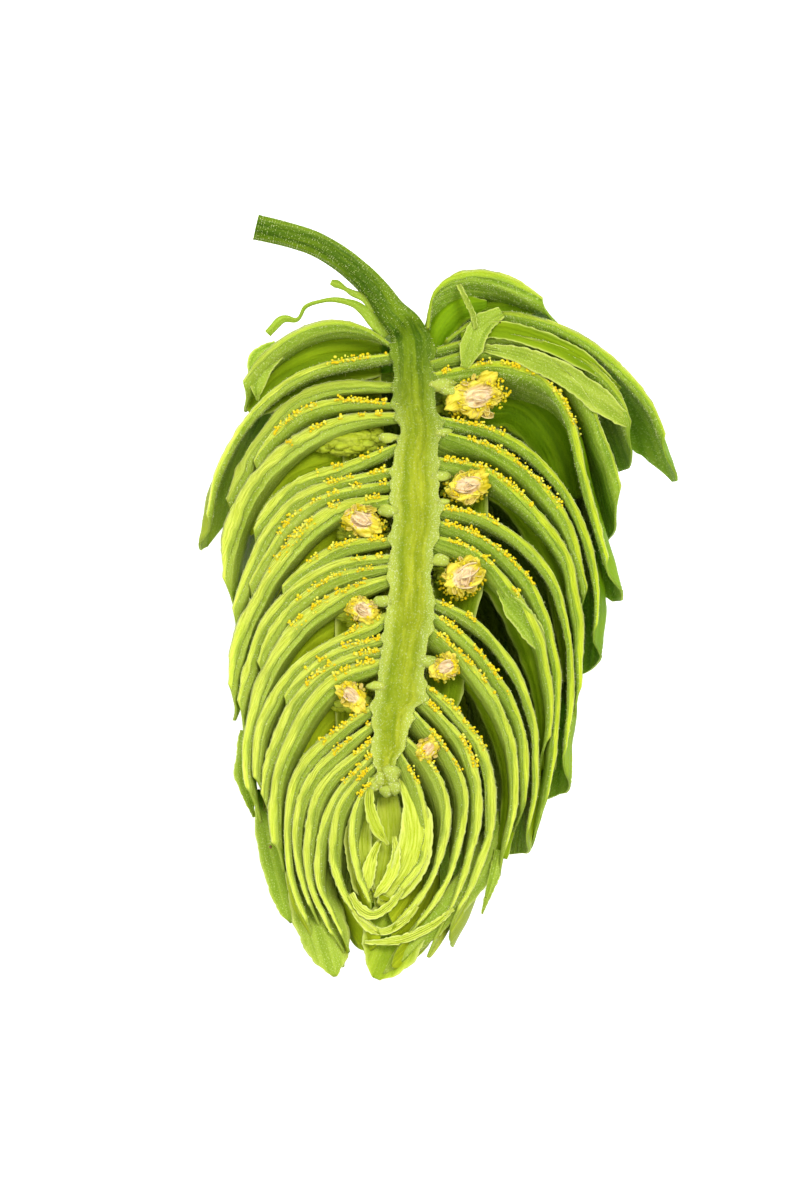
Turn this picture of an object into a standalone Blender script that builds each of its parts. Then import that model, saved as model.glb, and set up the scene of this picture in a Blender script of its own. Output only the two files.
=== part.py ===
"""A hop cone cut in half lengthwise, lying on its round back with the cut face up.

+X runs across the cut face, +Y towards the stem and +Z up. The cone's own frame has height zero on the cut
plane, and depth counts downwards from there. The bracts and bracteoles are nested shells that leave the strig
at their own heights. At the cut plane each follows its own cut edge, and round the back they all settle into
one family of evenly nested curves.
"""

import math

import bpy
import numpy as np

MM = 0.001

# Driving dimensions, in millimetres
CUT_HEIGHT = 8.93  # cut plane above the surface that the cone lies on
PRESS_DEPTH = 9.3  # the depth that the back is pressed to, a little of which the flat resting patch takes off
MIDDLE = (1.05, 0.0)  # middle of the outline, in the cone's own frame
SHELL_THICKNESS = 0.17
EDGE_THICKNESS = 0.26  # of a shell at the cut
BASE_GAP = 0.08  # between the strig and the base of a shell
EDGE_SPACING = 0.42  # between the middles of two cut edges
RESTING_WITHIN = 0.01  # points this close to the surface are set down on it
PRESS_SHARPNESS = 40  # how crisply the round back turns into the flat that the cone lies on
BLEND_ANGLE = 50.0  # degrees round the strig by which a cut edge has joined the family
TOP_LEVEL, BOTTOM_LEVEL = 14.0, -7.6  # heights between which the nested family leaves the strig
EVENNESS = 0.5  # how far a cut bract's level in the family moves from its own height to an even spacing
WIDE_FROM = 50  # half-width in degrees from which a cut bract counts as wide
STEPS = 60  # fine steps along a curve
EASING, EASING_ROUNDS = 0.25, 60  # how cut edges that run too close are moved apart
CLAW_SHARE, WIDEST_AT, TIP_FALL = 0.78, 0.45, 0.93  # a bract's half-width at its base, and where it is widest
EDGE_THINS_BY = 25.0  # degrees round the strig by which a shell has its own thickness
TIP_THINS_FROM, TIP_THINNING = 0.6, 0.4
STEM_CAP = 2.0  # height above the cut plane that clears the round stem
SEED_SINK, SEED_CUT = 0.55, -0.05  # depth of a seed's middle as a share of its half-width, and its sliced top
TENDRIL_RADIUS, TENDRIL_TIP = 0.15, 0.12
STUB_RADII = [0.16, 0.2, 0.22, 0.2, 0.14]
ROWS, COLUMNS, WIDE_COLUMNS = 8, 5, 6  # facets of a shell along and across it

LEFT, RIGHT = -1, 1

# Centreline of the stem and strig and its radius, from the stem's cut end to the strig's tip: (x, y, radius)
STRIG = [
    (-7.8, 18.65, 0.62), (-6.3, 18.3, 0.60), (-4.9, 17.85, 0.60), (-3.6, 17.1, 0.60), (-2.55, 16.25, 0.62),
    (-1.65, 15.3, 0.65), (-1.0, 14.4, 0.72), (-0.3, 13.6, 0.85), (0.1, 12.5, 1.00), (0.2, 11.0, 1.02),
    (0.25, 9.0, 1.00), (0.25, 7.0, 1.10), (0.2, 5.0, 1.15), (0.1, 3.0, 1.15), (-0.05, 1.0, 1.12),
    (-0.15, -0.5, 1.15), (-0.35, -2.0, 1.08), (-0.5, -3.5, 1.10), (-0.7, -5.0, 1.10), (-1.0, -6.3, 0.85),
    (-1.2, -7.4, 0.62), (-1.35, -8.3, 0.50), (-1.4, -9.3, 0.36),
]  # fmt: skip
WHOLE_STEM_ABOVE = 14.6  # the knife leaves the strig here, so the stem beyond is round
CUT_BELOW = 13.0

# A thin torn stipule that curls off beside the stem, and a short stub above it
TENDRIL = [(-2.0, 14.05, -0.1), (-2.45, 14.5, 0.0), (-3.1, 14.85, 0.1), (-4.1, 15.0, 0.1), (-5.25, 14.7, 0.0),
           (-5.75, 14.05, -0.1), (-6.5, 14.0, 0.0), (-7.2, 13.3, 0.1)]  # fmt: skip
STUB = [(-2.88, 15.3, 0.1), (-3.3, 15.55, 0.15), (-4.05, 15.9, 0.1)]

# Half outline of the nested family: distance from the strig's axis and height, from the strig to the tip
FAMILY = [
    [(0.9, 14.6), (2.6, 15.6), (4.6, 15.3), (6.4, 14.1), (7.8, 12.3), (8.7, 10.1), (9.3, 7.6), (9.6, 4.8),
     (9.7, 2.0)],
    [(1.2, 12.6), (3.2, 13.2), (5.2, 12.8), (7.0, 11.5), (8.4, 9.4), (9.3, 7.0), (9.8, 4.4), (9.9, 1.6),
     (9.8, -1.2)],
    [(1.2, 9.0), (3.2, 9.1), (5.1, 8.4), (6.9, 6.9), (8.2, 4.7), (9.1, 2.2), (9.5, -0.6), (9.5, -3.6),
     (9.2, -6.4)],
    [(1.2, 5.0), (3.1, 4.8), (5.0, 3.9), (6.6, 2.4), (7.9, 0.2), (8.7, -2.4), (9.0, -5.2), (8.8, -8.0),
     (8.2, -10.8)],
    [(1.2, 1.0), (3.0, 0.5), (4.7, -0.6), (6.2, -2.3), (7.4, -4.6), (8.0, -7.2), (8.1, -9.9), (7.6, -12.4),
     (6.6, -14.8)],
    [(1.2, -3.0), (2.8, -3.9), (4.3, -5.3), (5.6, -7.3), (6.5, -9.7), (6.7, -12.3), (6.1, -14.7),
     (4.8, -17.0), (3.2, -18.8)],
    [(0.8, -6.6), (2.2, -7.9), (3.4, -9.6), (4.2, -11.7), (4.4, -13.9), (3.8, -16.0), (2.7, -17.7),
     (1.3, -19.0), (0.0, -20.0)],
    [(0.5, -9.6), (1.0, -10.7), (1.5, -12.0), (1.7, -13.5), (1.5, -15.0), (1.1, -16.3), (0.7, -17.4),
     (0.4, -18.4), (0.2, -19.2)],
]  # fmt: skip

# Reach of the round back below the cut plane, along the cone: (y, depth)
BACK = [(-19.0, 0.6), (-16.0, 4.9), (-12.0, 7.2), (-8.0, 8.8), (-4.0, 9.2), (0.0, 9.5), (4.0, 9.55),
        (7.0, 9.5), (11.0, 8.2), (13.5, 6.0), (16.0, 3.0)]  # fmt: skip

# Name, side, middle of the bract in degrees round the strig from the cut plane, its half-width in degrees,
# and points of the cut edge from the strig to its end
CUT_BRACTS = [
    ("left_bract_01", LEFT, 12, 32,
     [(-1.2, 12.75), (-2.8, 13.75), (-4.7, 13.8), (-6.4, 13.0), (-7.8, 12.0), (-8.5, 10.9)]),
    ("left_bract_02", LEFT, 12, 34,
     [(-1.1, 12.2), (-3.0, 12.0), (-5.2, 11.55), (-7.3, 10.4), (-8.9, 8.4), (-9.9, 6.2), (-10.3, 4.2)]),
    ("left_bract_03", LEFT, 32, 55,
     [(-1.0, 10.6), (-3.0, 10.8), (-4.6, 10.65), (-6.0, 10.0), (-7.4, 8.7), (-8.5, 6.9), (-9.2, 5.0)]),
    ("left_bracteole_04", LEFT, 14, 31,
     [(-1.1, 9.7), (-3.0, 9.95), (-4.3, 9.85), (-6.0, 9.2), (-7.2, 8.1), (-8.0, 6.9)]),
    ("left_bract_05", LEFT, 12, 34,
     [(-1.2, 9.1), (-2.8, 9.25), (-4.5, 8.75), (-6.3, 7.7), (-7.8, 6.3), (-8.8, 4.7), (-9.4, 2.9),
      (-9.4, 1.0)]),
    ("left_bracteole_06", LEFT, 14, 30,
     [(-1.2, 7.5), (-2.4, 7.1), (-4.0, 6.6), (-5.6, 6.0), (-7.0, 5.0), (-8.0, 3.5)]),
    ("left_bract_07", LEFT, 32, 55,
     [(-1.2, 6.4), (-3.0, 6.2), (-5.0, 5.6), (-6.5, 4.6), (-7.6, 3.1), (-8.5, 1.2), (-8.95, -0.6)]),
    ("left_bracteole_08", LEFT, 14, 31,
     [(-1.2, 5.8), (-3.0, 5.65), (-4.8, 5.0), (-6.3, 3.9), (-7.3, 2.5), (-8.1, 0.8)]),
    ("left_bract_09", LEFT, 12, 34,
     [(-1.2, 5.1), (-3.0, 5.0), (-4.5, 4.2), (-6.0, 2.9), (-7.2, 1.3), (-8.2, -0.8), (-8.9, -2.6),
      (-9.1, -4.3)]),
    ("left_bracteole_10", LEFT, 14, 28,
     [(-1.2, 3.1), (-2.6, 2.9), (-4.1, 2.4), (-5.4, 1.6), (-6.5, 0.6)]),
    ("left_bract_11", LEFT, 32, 55,
     [(-1.3, 2.2), (-3.2, 1.95), (-5.0, 1.3), (-6.3, 0.3), (-7.3, -1.0), (-8.1, -2.9), (-8.6, -5.2)]),
    ("left_bracteole_12", LEFT, 14, 31,
     [(-1.3, 1.7), (-3.4, 1.35), (-4.8, 0.7), (-6.0, -0.3), (-7.0, -1.6), (-7.7, -3.2)]),
    ("left_bract_13", LEFT, 12, 34,
     [(-1.3, 1.1), (-3.2, 0.6), (-5.0, -0.6), (-6.3, -1.9), (-7.2, -3.4), (-8.0, -5.6), (-8.4, -7.6),
      (-8.1, -9.3)]),
    ("left_bract_14", LEFT, 32, 55,
     [(-1.3, -0.9), (-2.8, -1.6), (-4.5, -2.5), (-6.0, -3.6), (-7.1, -5.0), (-7.7, -6.9),
      (-7.9, -8.9)]),
    ("left_bracteole_15", LEFT, 14, 28,
     [(-1.4, -1.9), (-3.0, -2.3), (-4.3, -2.95), (-5.4, -3.8), (-6.3, -4.9)]),
    ("left_bracteole_16", LEFT, 14, 31,
     [(-1.5, -2.5), (-3.4, -2.95), (-4.7, -3.8), (-5.8, -4.9), (-6.6, -6.3), (-7.2, -8.0),
      (-7.4, -9.6)]),
    ("left_bract_17", LEFT, 12, 34,
     [(-1.6, -3.1), (-3.4, -3.7), (-4.9, -4.9), (-5.9, -6.4), (-6.6, -8.2), (-7.0, -10.2),
      (-6.9, -12.0)]),
    ("left_bract_18", LEFT, 32, 55,
     [(-1.8, -5.3), (-3.4, -6.3), (-4.7, -7.2), (-5.7, -8.3), (-6.2, -9.8), (-6.4, -11.4), (-6.2, -13.2),
      (-5.8, -14.6), (-5.3, -15.9)]),
    ("left_bracteole_19", LEFT, 16, 30,
     [(-1.8, -6.1), (-3.4, -7.2), (-4.7, -8.1), (-5.5, -9.5), (-5.9, -11.0), (-5.95, -12.7),
      (-5.6, -14.1), (-5.2, -15.0)]),
    ("left_bract_20", LEFT, 32, 55,
     [(-1.8, -6.9), (-3.1, -7.9), (-4.3, -8.7), (-5.0, -10.1), (-5.35, -12.3), (-5.2, -14.1),
      (-4.6, -15.4), (-3.9, -16.4)]),
    ("left_bracteole_21", LEFT, 16, 42,
     [(-1.9, -7.6), (-2.9, -8.6), (-3.8, -9.8), (-4.4, -10.9), (-4.8, -12.4), (-4.7, -14.1),
      (-4.4, -15.2), (-3.6, -16.5)]),
    ("left_bract_22", LEFT, 20, 48,
     [(-1.9, -8.2), (-3.1, -9.0), (-3.8, -10.5), (-4.1, -11.9), (-4.05, -13.2), (-3.6, -14.3),
      (-3.1, -15.1), (-2.5, -15.9), (-1.8, -16.5)]),
    ("left_bracteole_23", LEFT, 24, 50,
     [(-1.9, -8.9), (-2.6, -9.6), (-3.0, -10.6), (-3.05, -11.9), (-2.85, -13.2), (-2.5, -14.3),
      (-2.1, -15.1)]),
    ("right_bract_01", RIGHT, 10, 24,
     [(0.9, 14.0), (1.0, 15.2), (1.9, 16.1), (3.4, 16.3), (5.2, 15.9), (6.5, 15.1)]),
    ("right_bract_02", RIGHT, 8, 18,
     [(2.2, 13.0), (2.9, 13.9), (4.2, 14.4), (6.0, 14.2), (8.4, 13.3), (10.2, 11.8), (11.8, 10.0),
      (12.5, 8.2)]),
    ("right_bract_03", RIGHT, 14, 30,
     [(1.4, 12.5), (3.6, 13.1), (6.0, 13.0), (8.2, 12.3), (9.6, 11.2), (10.5, 10.0), (10.9, 8.8)]),
    ("right_bract_04", RIGHT, 32, 55,
     [(1.4, 11.9), (3.3, 12.5), (5.0, 12.6), (6.8, 12.1), (8.2, 11.0), (9.3, 9.2), (9.9, 7.2),
      (10.4, 5.4)]),
    ("right_bract_05", RIGHT, 12, 34,
     [(1.4, 11.2), (3.2, 11.7), (4.8, 11.9), (6.4, 11.4), (7.6, 10.2), (8.2, 8.2), (8.7, 5.8),
      (9.3, 3.8), (9.8, 2.0)]),
    ("right_bract_06", RIGHT, 32, 55,
     [(1.4, 9.0), (3.2, 8.7), (5.0, 8.15), (6.5, 7.3), (7.5, 6.1), (8.4, 4.4), (9.1, 2.2), (9.5, 0.2),
      (9.3, -1.4)]),
    ("right_bracteole_07", RIGHT, 14, 31,
     [(1.4, 8.3), (3.2, 7.85), (5.0, 7.2), (6.4, 6.2), (7.5, 4.7), (8.2, 2.9), (8.7, 0.6)]),
    ("right_bract_08", RIGHT, 12, 34,
     [(1.4, 6.9), (3.2, 6.75), (4.6, 6.1), (5.9, 4.9), (7.1, 3.7), (7.9, 2.0), (8.3, -0.2), (8.6, -2.4),
      (8.5, -4.4)]),
    ("right_bract_09", RIGHT, 32, 55,
     [(1.4, 4.6), (3.2, 4.35), (4.7, 3.7), (6.1, 2.5), (7.1, 1.2), (7.8, -0.6), (8.1, -2.8), (8.0, -5.6),
      (7.7, -7.6)]),
    ("right_bracteole_10", RIGHT, 14, 30,
     [(1.4, 3.9), (3.0, 3.5), (4.6, 2.5), (5.8, 1.1), (6.8, -0.5), (7.25, -2.4), (7.4, -4.6),
      (7.25, -7.2), (6.85, -9.8)]),
    ("right_bract_11", RIGHT, 12, 34,
     [(1.4, 3.1), (3.0, 2.7), (4.1, 1.7), (5.2, 0.3), (6.2, -1.1), (6.8, -3.0), (7.0, -5.0),
      (6.9, -7.0)]),
    ("right_bract_12", RIGHT, 32, 55,
     [(1.2, -0.1), (2.6, -0.5), (3.9, -1.4), (4.9, -2.8), (5.7, -4.6), (6.2, -6.8), (6.3, -9.0),
      (5.9, -11.0)]),
    ("right_bracteole_13", RIGHT, 14, 31,
     [(1.2, -0.8), (2.5, -1.5), (3.7, -2.8), (4.7, -4.3), (5.4, -6.2), (5.7, -8.2), (5.6, -10.0)]),
    ("right_bract_14", RIGHT, 12, 34,
     [(1.1, -1.5), (2.3, -2.3), (3.4, -3.6), (4.4, -5.2), (5.0, -7.1), (5.25, -9.1), (5.1, -10.9),
      (4.8, -12.3)]),
    ("right_bract_15", RIGHT, 32, 55,
     [(0.7, -4.2), (2.1, -5.3), (3.1, -6.7), (3.8, -8.6), (4.1, -10.5), (4.0, -12.0), (3.6, -13.3),
      (2.8, -14.6), (2.1, -15.4)]),
    ("right_bracteole_16", RIGHT, 16, 30,
     [(0.6, -4.9), (2.0, -6.3), (2.9, -8.0), (3.35, -9.6), (3.4, -11.4), (3.1, -12.9), (2.5, -14.3),
      (1.6, -15.8)]),
    ("right_bract_17", RIGHT, 18, 28,
     [(0.4, -5.9), (1.4, -7.1), (2.2, -8.4), (2.7, -9.7), (2.8, -11.3), (2.4, -12.8), (1.8, -14.2),
      (0.9, -15.6), (-0.1, -16.5), (-1.0, -17.0)]),
    ("right_bracteole_18", RIGHT, 20, 50,
     [(-0.2, -7.2), (0.8, -8.2), (1.6, -9.4), (1.9, -10.7), (1.8, -12.0), (1.35, -13.3), (0.8, -14.4),
      (0.0, -15.5), (-0.8, -16.2)]),
    ("right_bract_19", RIGHT, 24, 52,
     [(-0.5, -8.1), (0.2, -9.2), (0.7, -10.6), (1.0, -11.6), (0.85, -12.5), (0.4, -13.4), (-0.4, -14.4),
      (-1.1, -15.2)]),
]  # fmt: skip

# Whole bracts of the back: name, level in the family, middle and half-width in degrees round
# the strig, and length
BACK_BRACTS = [
    ("back_bract_01", 13.2, 84, 32, 12.0),
    ("back_bract_02", 10.1, 96, 36, 14.0),
    ("back_bract_03", 5.9, 84, 36, 14.0),
    ("back_bract_04", 3.7, 96, 36, 14.0),
    ("back_bract_05", 1.8, 86, 36, 14.0),
    ("back_bract_06", -1.6, 92, 36, 14.0),
    ("back_bract_07", -4.95, 88, 35, 13.5),
]

# Seeds in their papery perianths, sliced at the cut plane: name, x, y, half-width, half-length and turn in
# degrees
SEEDS = [
    ("left_seed_01", -2.5, 4.0, 0.62, 0.85, 70),
    ("left_seed_02", -2.5, -0.45, 0.50, 0.72, 60),
    ("left_seed_03", -3.0, -4.75, 0.45, 0.75, 40),
    ("right_seed_01", 3.3, 10.2, 0.80, 1.15, -65),
    ("right_seed_02", 2.8, 5.7, 0.62, 0.95, -70),
    ("right_seed_03", 2.6, 1.2, 0.70, 0.95, -45),
    ("right_seed_04", 1.7, -3.35, 0.48, 0.62, -60),
    ("right_seed_05", 0.8, -7.45, 0.40, 0.58, -40),
]


def smooth(t):
    t = np.clip(t, 0.0, 1.0)
    return t * t * (3.0 - 2.0 * t)


def along(points, count=STEPS + 1):
    """A Catmull-Rom curve through the points, as count points at equal distances."""
    points = np.array(points, float)
    ends = np.vstack([2 * points[0] - points[1], points, 2 * points[-1] - points[-2]])
    t = np.linspace(0.0, 1.0, 16, endpoint=False)[:, None]
    fine = []
    for a, b, c, d in zip(ends, ends[1:], ends[2:], ends[3:]):
        fine.append(
            0.5 * (2 * b + (c - a) * t + (2 * a - 5 * b + 4 * c - d) * t**2 + (3 * b - 3 * c + d - a) * t**3)
        )
    fine = np.vstack(fine + [points[-1:]])
    run = np.concatenate([[0.0], np.cumsum(np.linalg.norm(np.diff(fine, axis=0), axis=1))])
    at = np.linspace(0.0, run[-1], count)
    return np.stack([np.interp(at, run, fine[:, k]) for k in range(points.shape[1])], axis=1)


def length_of(curve):
    return float(np.linalg.norm(np.diff(curve, axis=0), axis=1).sum())


STRIG_LINE = np.array([p for p in STRIG if p[1] < 13.0])[::-1]


def axis_x(y):
    """The strig's axis, carried on below its tip and above its top."""
    return np.interp(y, [-19.0, *STRIG_LINE[:, 1], 14.0], [-1.55, *STRIG_LINE[:, 0], 0.15])


def strig_radius(y):
    return np.interp(y, [-10.2, -9.3, *STRIG_LINE[1:, 1], 14.0], [0.0, 0.36, *STRIG_LINE[1:, 2], 0.9])


FAMILY_CURVES = np.array([along(curve) for curve in FAMILY])
FAMILY_LEVELS = np.array([curve[0][1] for curve in FAMILY])


def family_curve(level):
    """The nested curve that leaves the strig at this height, as (distance from the axis, y)."""
    k = int(np.clip(np.searchsorted(-FAMILY_LEVELS, -level) - 1, 0, len(FAMILY) - 2))
    share = (FAMILY_LEVELS[k] - level) / (FAMILY_LEVELS[k] - FAMILY_LEVELS[k + 1])
    return (1 - share) * FAMILY_CURVES[k] + share * FAMILY_CURVES[k + 1]


def spaced_edges(curves):
    """The cut edges of one side, eased apart where they run closer than the spacing."""
    curves = [curve.copy() for curve in curves]
    for _ in range(EASING_ROUNDS):
        for first, second in zip(curves, curves[1:]):
            apart = second[None] - first[:, None]
            far = np.linalg.norm(apart, axis=2)
            near = far.argmin(axis=1)
            for i in np.nonzero(far.min(axis=1) < EDGE_SPACING)[0]:
                j = near[i]
                if i == 0 and j == 0:
                    continue
                push = EASING * (EDGE_SPACING - far[i, j]) * apart[i, j] / max(far[i, j], 1e-6)
                first[i] -= push
                second[j] += push
        for curve in curves:
            curve[1:-1] += EASING * (curve[2:] + curve[:-2] - 2 * curve[1:-1])
    return curves


def half_width_share(u):
    """A bract's half-width along its length: a broad claw, widest before the middle, then a drawn-out tip."""
    rising = CLAW_SHARE + (1 - CLAW_SHARE) * np.sin(0.5 * np.pi * np.clip(u / WIDEST_AT, 0, 1))
    falling = 1.0 - TIP_FALL * np.clip((u - WIDEST_AT) / (1 - WIDEST_AT), 0, 1) ** 2.5
    return np.where(u < WIDEST_AT, rising, falling)


def laid(points):
    """Points of the cone's own frame carried to where it lies, with the round back pressed flat below."""
    x, y, depth = points[..., 0], points[..., 1], -points[..., 2]
    reach = np.interp(y, *zip(*BACK))
    below = np.sqrt(np.maximum(reach**2 - (x - axis_x(y)) ** 2, 0.01)) / PRESS_DEPTH
    depth = depth * (1.0 + below**PRESS_SHARPNESS) ** (-1.0 / PRESS_SHARPNESS)
    return np.stack([x - MIDDLE[0], y - MIDDLE[1], CUT_HEIGHT - depth], axis=-1)


class Bract:
    """A shell round the strig. Its place is given by distance along it and by the angle round the strig."""

    def __init__(self, name, side, edge, level, middle, half, length=None):
        self.name, self.side, self.middle, self.half = name, side, middle, half
        self.family = family_curve(level)
        self.family_length = length_of(self.family)
        self.edge, self.length = None, length
        if edge is not None:
            run = length_of(edge)
            shares = np.linspace(WIDEST_AT, 1.0, 200)
            open_share = float(shares[np.abs(half * half_width_share(shares) - middle).argmin()])
            self.length = run / open_share
            self.edge = np.stack([side * (edge[:, 0] - axis_x(edge[:, 1])), edge[:, 1]], axis=1)
            self.edge_length = run

    def on(self, curve, run, s):
        """The point at distance s along a curve, carried on straight beyond its end."""
        at = np.linspace(0.0, run, len(curve))
        inside = np.clip(s, 0.0, run)
        point = np.stack([np.interp(inside, at, curve[:, k]) for k in (0, 1)], axis=-1)
        onward = curve[-1] - curve[-4]
        return point + np.clip(s - run, 0.0, None)[..., None] * onward / np.linalg.norm(onward)

    def point(self, s, angle):
        """Where it lies, for arrays of distances and of angles in degrees."""
        flat = self.on(self.family, self.family_length, s)
        if self.edge is not None:
            share = smooth(angle / BLEND_ANGLE)[..., None]
            flat = self.on(self.edge, self.edge_length, s) * (1 - share) + flat * share
        reach, y = flat[..., 0], flat[..., 1]
        reach = np.maximum(reach, strig_radius(y) + BASE_GAP + EDGE_THICKNESS / 2)
        turn = np.radians(angle)
        x = axis_x(y) + self.side * reach * np.cos(turn)
        return laid(np.stack([x, y, -reach * np.sin(turn)], axis=-1))

    def angles(self, u, v):
        half = self.half * half_width_share(u)
        low = self.middle - half
        if self.edge is not None:
            low = np.maximum(low, 0.0)
        high = self.middle + half
        return low + (high - low) * v

    def shell(self, rows, columns):
        """The two faces of the shell, as a closed grid of points and its faces."""
        u, v = np.meshgrid(np.linspace(0, 1, rows), np.linspace(0, 1, columns), indexing="ij")
        s, angle = u * self.length, self.angles(u, v)
        down = self.point(s + 0.02, angle) - self.point(np.maximum(s - 0.02, 0), angle)
        across = self.point(s, angle + 0.5) - self.point(s, np.maximum(angle - 0.5, 0))
        normal = np.cross(down, across)
        at_cut = (angle <= 1e-6) & (self.edge is not None)
        normal[at_cut, 2] = 0.0
        normal /= np.linalg.norm(normal, axis=2, keepdims=True)
        thick = SHELL_THICKNESS + (EDGE_THICKNESS - SHELL_THICKNESS) * (1 - smooth(angle / EDGE_THINS_BY))
        thick = thick * (1 - TIP_THINNING * smooth((u - TIP_THINS_FROM) / (1 - TIP_THINS_FROM)))
        middle = self.point(s, angle)
        middle[..., 2] = np.maximum(middle[..., 2], thick / 2)
        offset = 0.5 * thick[..., None] * normal
        return closed_grid(resting(middle + offset), resting(middle - offset))


def resting(points):
    """Points within a hair of the surface set down on it."""
    points[..., 2] = np.where(points[..., 2] < RESTING_WITHIN, 0.0, points[..., 2])
    return points


def closed_grid(outer, inner):
    rows, columns = outer.shape[:2]
    points = np.concatenate([outer.reshape(-1, 3), inner.reshape(-1, 3)])
    at = np.arange(rows * columns).reshape(rows, columns)
    other = at + rows * columns
    faces = []
    for i in range(rows - 1):
        for j in range(columns - 1):
            faces.append((at[i, j], at[i + 1, j], at[i + 1, j + 1], at[i, j + 1]))
            faces.append((other[i, j], other[i, j + 1], other[i + 1, j + 1], other[i + 1, j]))
    rim = [*at[0, :], *at[1:, -1], *at[-1, -2::-1], *at[-2:0:-1, 0]]
    back = [*other[0, :], *other[1:, -1], *other[-1, -2::-1], *other[-2:0:-1, 0]]
    for k in range(len(rim)):
        n = (k + 1) % len(rim)
        faces.append((rim[k], rim[n], back[n], back[k]))
    return points, faces


def tube(path, radii, around, cap=None):
    """A closed tube along a path in the cone's own frame, each ring cut off at its cap's height."""
    path = np.array(path, float)
    ahead = np.gradient(path, axis=0)
    ahead /= np.linalg.norm(ahead, axis=1, keepdims=True)
    across = np.cross(ahead, (0.0, 0.0, 1.0))
    across /= np.linalg.norm(across, axis=1, keepdims=True)
    upward = np.cross(across, ahead)
    turn = np.linspace(0.0, 2 * np.pi, around, endpoint=False)
    rings = (
        path[:, None]
        + np.array(radii)[:, None, None]
        * (np.cos(turn)[None, :, None] * across[:, None] + np.sin(turn)[None, :, None] * upward[:, None])
    )
    if cap is not None:
        rings[..., 2] = np.minimum(rings[..., 2], np.array(cap)[:, None])
    points = laid(rings.reshape(-1, 3))
    at = np.arange(len(points)).reshape(len(path), around)
    faces = [tuple(at[0]), tuple(at[-1][::-1])]
    for i in range(len(path) - 1):
        for j in range(around):
            n = (j + 1) % around
            faces.append((at[i, j], at[i + 1, j], at[i + 1, n], at[i, n]))
    return points, faces


def stem_and_strig():
    line = along(STRIG, 27)
    path = [(x, y, 0.0) for x, y, _ in line]
    caps = [STEM_CAP * smooth((y - CUT_BELOW) / (WHOLE_STEM_ABOVE - CUT_BELOW)) for _, y, _ in line]
    return tube(path, line[:, 2], 14, caps)


def tendril():
    rings = 18
    return tube(along(TENDRIL, rings), [TENDRIL_RADIUS] * (rings - 1) + [TENDRIL_TIP], 6)


def stub():
    return tube(along(STUB, len(STUB_RADII)), STUB_RADII, 6)


def seed(x, y, half_width, half_length, turn):
    """A drop-shaped body just under the cut plane, with its upper side sliced flat."""
    rings, around = 6, 9
    ahead = np.array([math.cos(math.radians(90 + turn)), math.sin(math.radians(90 + turn)), 0.0])
    middle = np.array([x, y, -SEED_SINK * half_width])
    shares = np.linspace(-1.0, 1.0, rings)
    path = [middle + half_length * share * ahead for share in shares]
    radii = [half_width * max(0.18, math.sqrt(1 - share * share) * (1.0 - 0.25 * share)) for share in shares]
    return tube(path, radii, around, [SEED_CUT] * rings)


def material(name, colour, roughness=0.6):
    made = bpy.data.materials.new(name)
    made.use_nodes = True
    shader = made.node_tree.nodes["Principled BSDF"]
    shader.inputs["Base Color"].default_value = (*colour, 1.0)
    shader.inputs["Roughness"].default_value = roughness
    return made


def add(name, points, faces, look):
    points = np.asarray(points) * MM
    triangles = np.array([(f[0], a, b) for f in faces for a, b in zip(f[1:], f[2:])])
    corners = points[triangles]
    if np.einsum("ij,ij->i", corners[:, 0], np.cross(corners[:, 1], corners[:, 2])).sum() < 0:
        faces = [f[::-1] for f in faces]
    mesh = bpy.data.meshes.new(name)
    mesh.from_pydata(points.tolist(), [], [tuple(int(i) for i in f) for f in faces])
    mesh.shade_smooth()
    mesh.materials.append(look)
    bpy.context.collection.objects.link(bpy.data.objects.new(name, mesh))


def bracts():
    """Every shell, side by side from the stem down, and then those of the back."""
    made = []
    for side in (LEFT, RIGHT):
        rows = [row for row in CUT_BRACTS if row[1] == side]
        edges = spaced_edges([along(row[-1]) for row in rows])
        evenly = np.linspace(TOP_LEVEL, BOTTOM_LEVEL, len(rows))
        for (name, _, middle, half, points), edge, even in zip(rows, edges, evenly):
            level = EVENNESS * even + (1 - EVENNESS) * points[0][1]
            made.append(Bract(name, side, edge, level, middle, half))
    for name, level, middle, half, length in BACK_BRACTS:
        made.append(Bract(name, LEFT, None, level, middle, half, length))
    return made


def main():
    for thing in list(bpy.data.objects):
        bpy.data.objects.remove(thing, do_unlink=True)
    bract_look = material("bract", (0.36, 0.46, 0.06))
    bracteole_look = material("bracteole", (0.48, 0.55, 0.12))
    back_look = material("outer bract", (0.30, 0.42, 0.07))
    strig_look = material("strig", (0.50, 0.58, 0.26))
    seed_look = material("seed", (0.66, 0.52, 0.22))
    for bract in bracts():
        wide = bract.half >= WIDE_FROM or bract.edge is None
        points, faces = bract.shell(ROWS, WIDE_COLUMNS if wide else COLUMNS)
        look = bracteole_look if "bracteole" in bract.name else bract_look
        add(bract.name, points, faces, back_look if bract.edge is None else look)
    add("stem_and_strig", *stem_and_strig(), strig_look)
    add("curled_stipule", *tendril(), back_look)
    add("stipule_stub", *stub(), back_look)
    for name, *numbers in SEEDS:
        add(name, *seed(*numbers), seed_look)


main()
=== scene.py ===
"""The looks of the halved hop cone: fine bracts, strig, seeds, lupulin glands and hairs round the frame.

Lengths are in millimetres in the cone's own frame until laid() carries them to where the cone lies: +X runs
across the cut face, +Y towards the stem, and height zero is the cut plane.
"""

import itertools
import math

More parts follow.
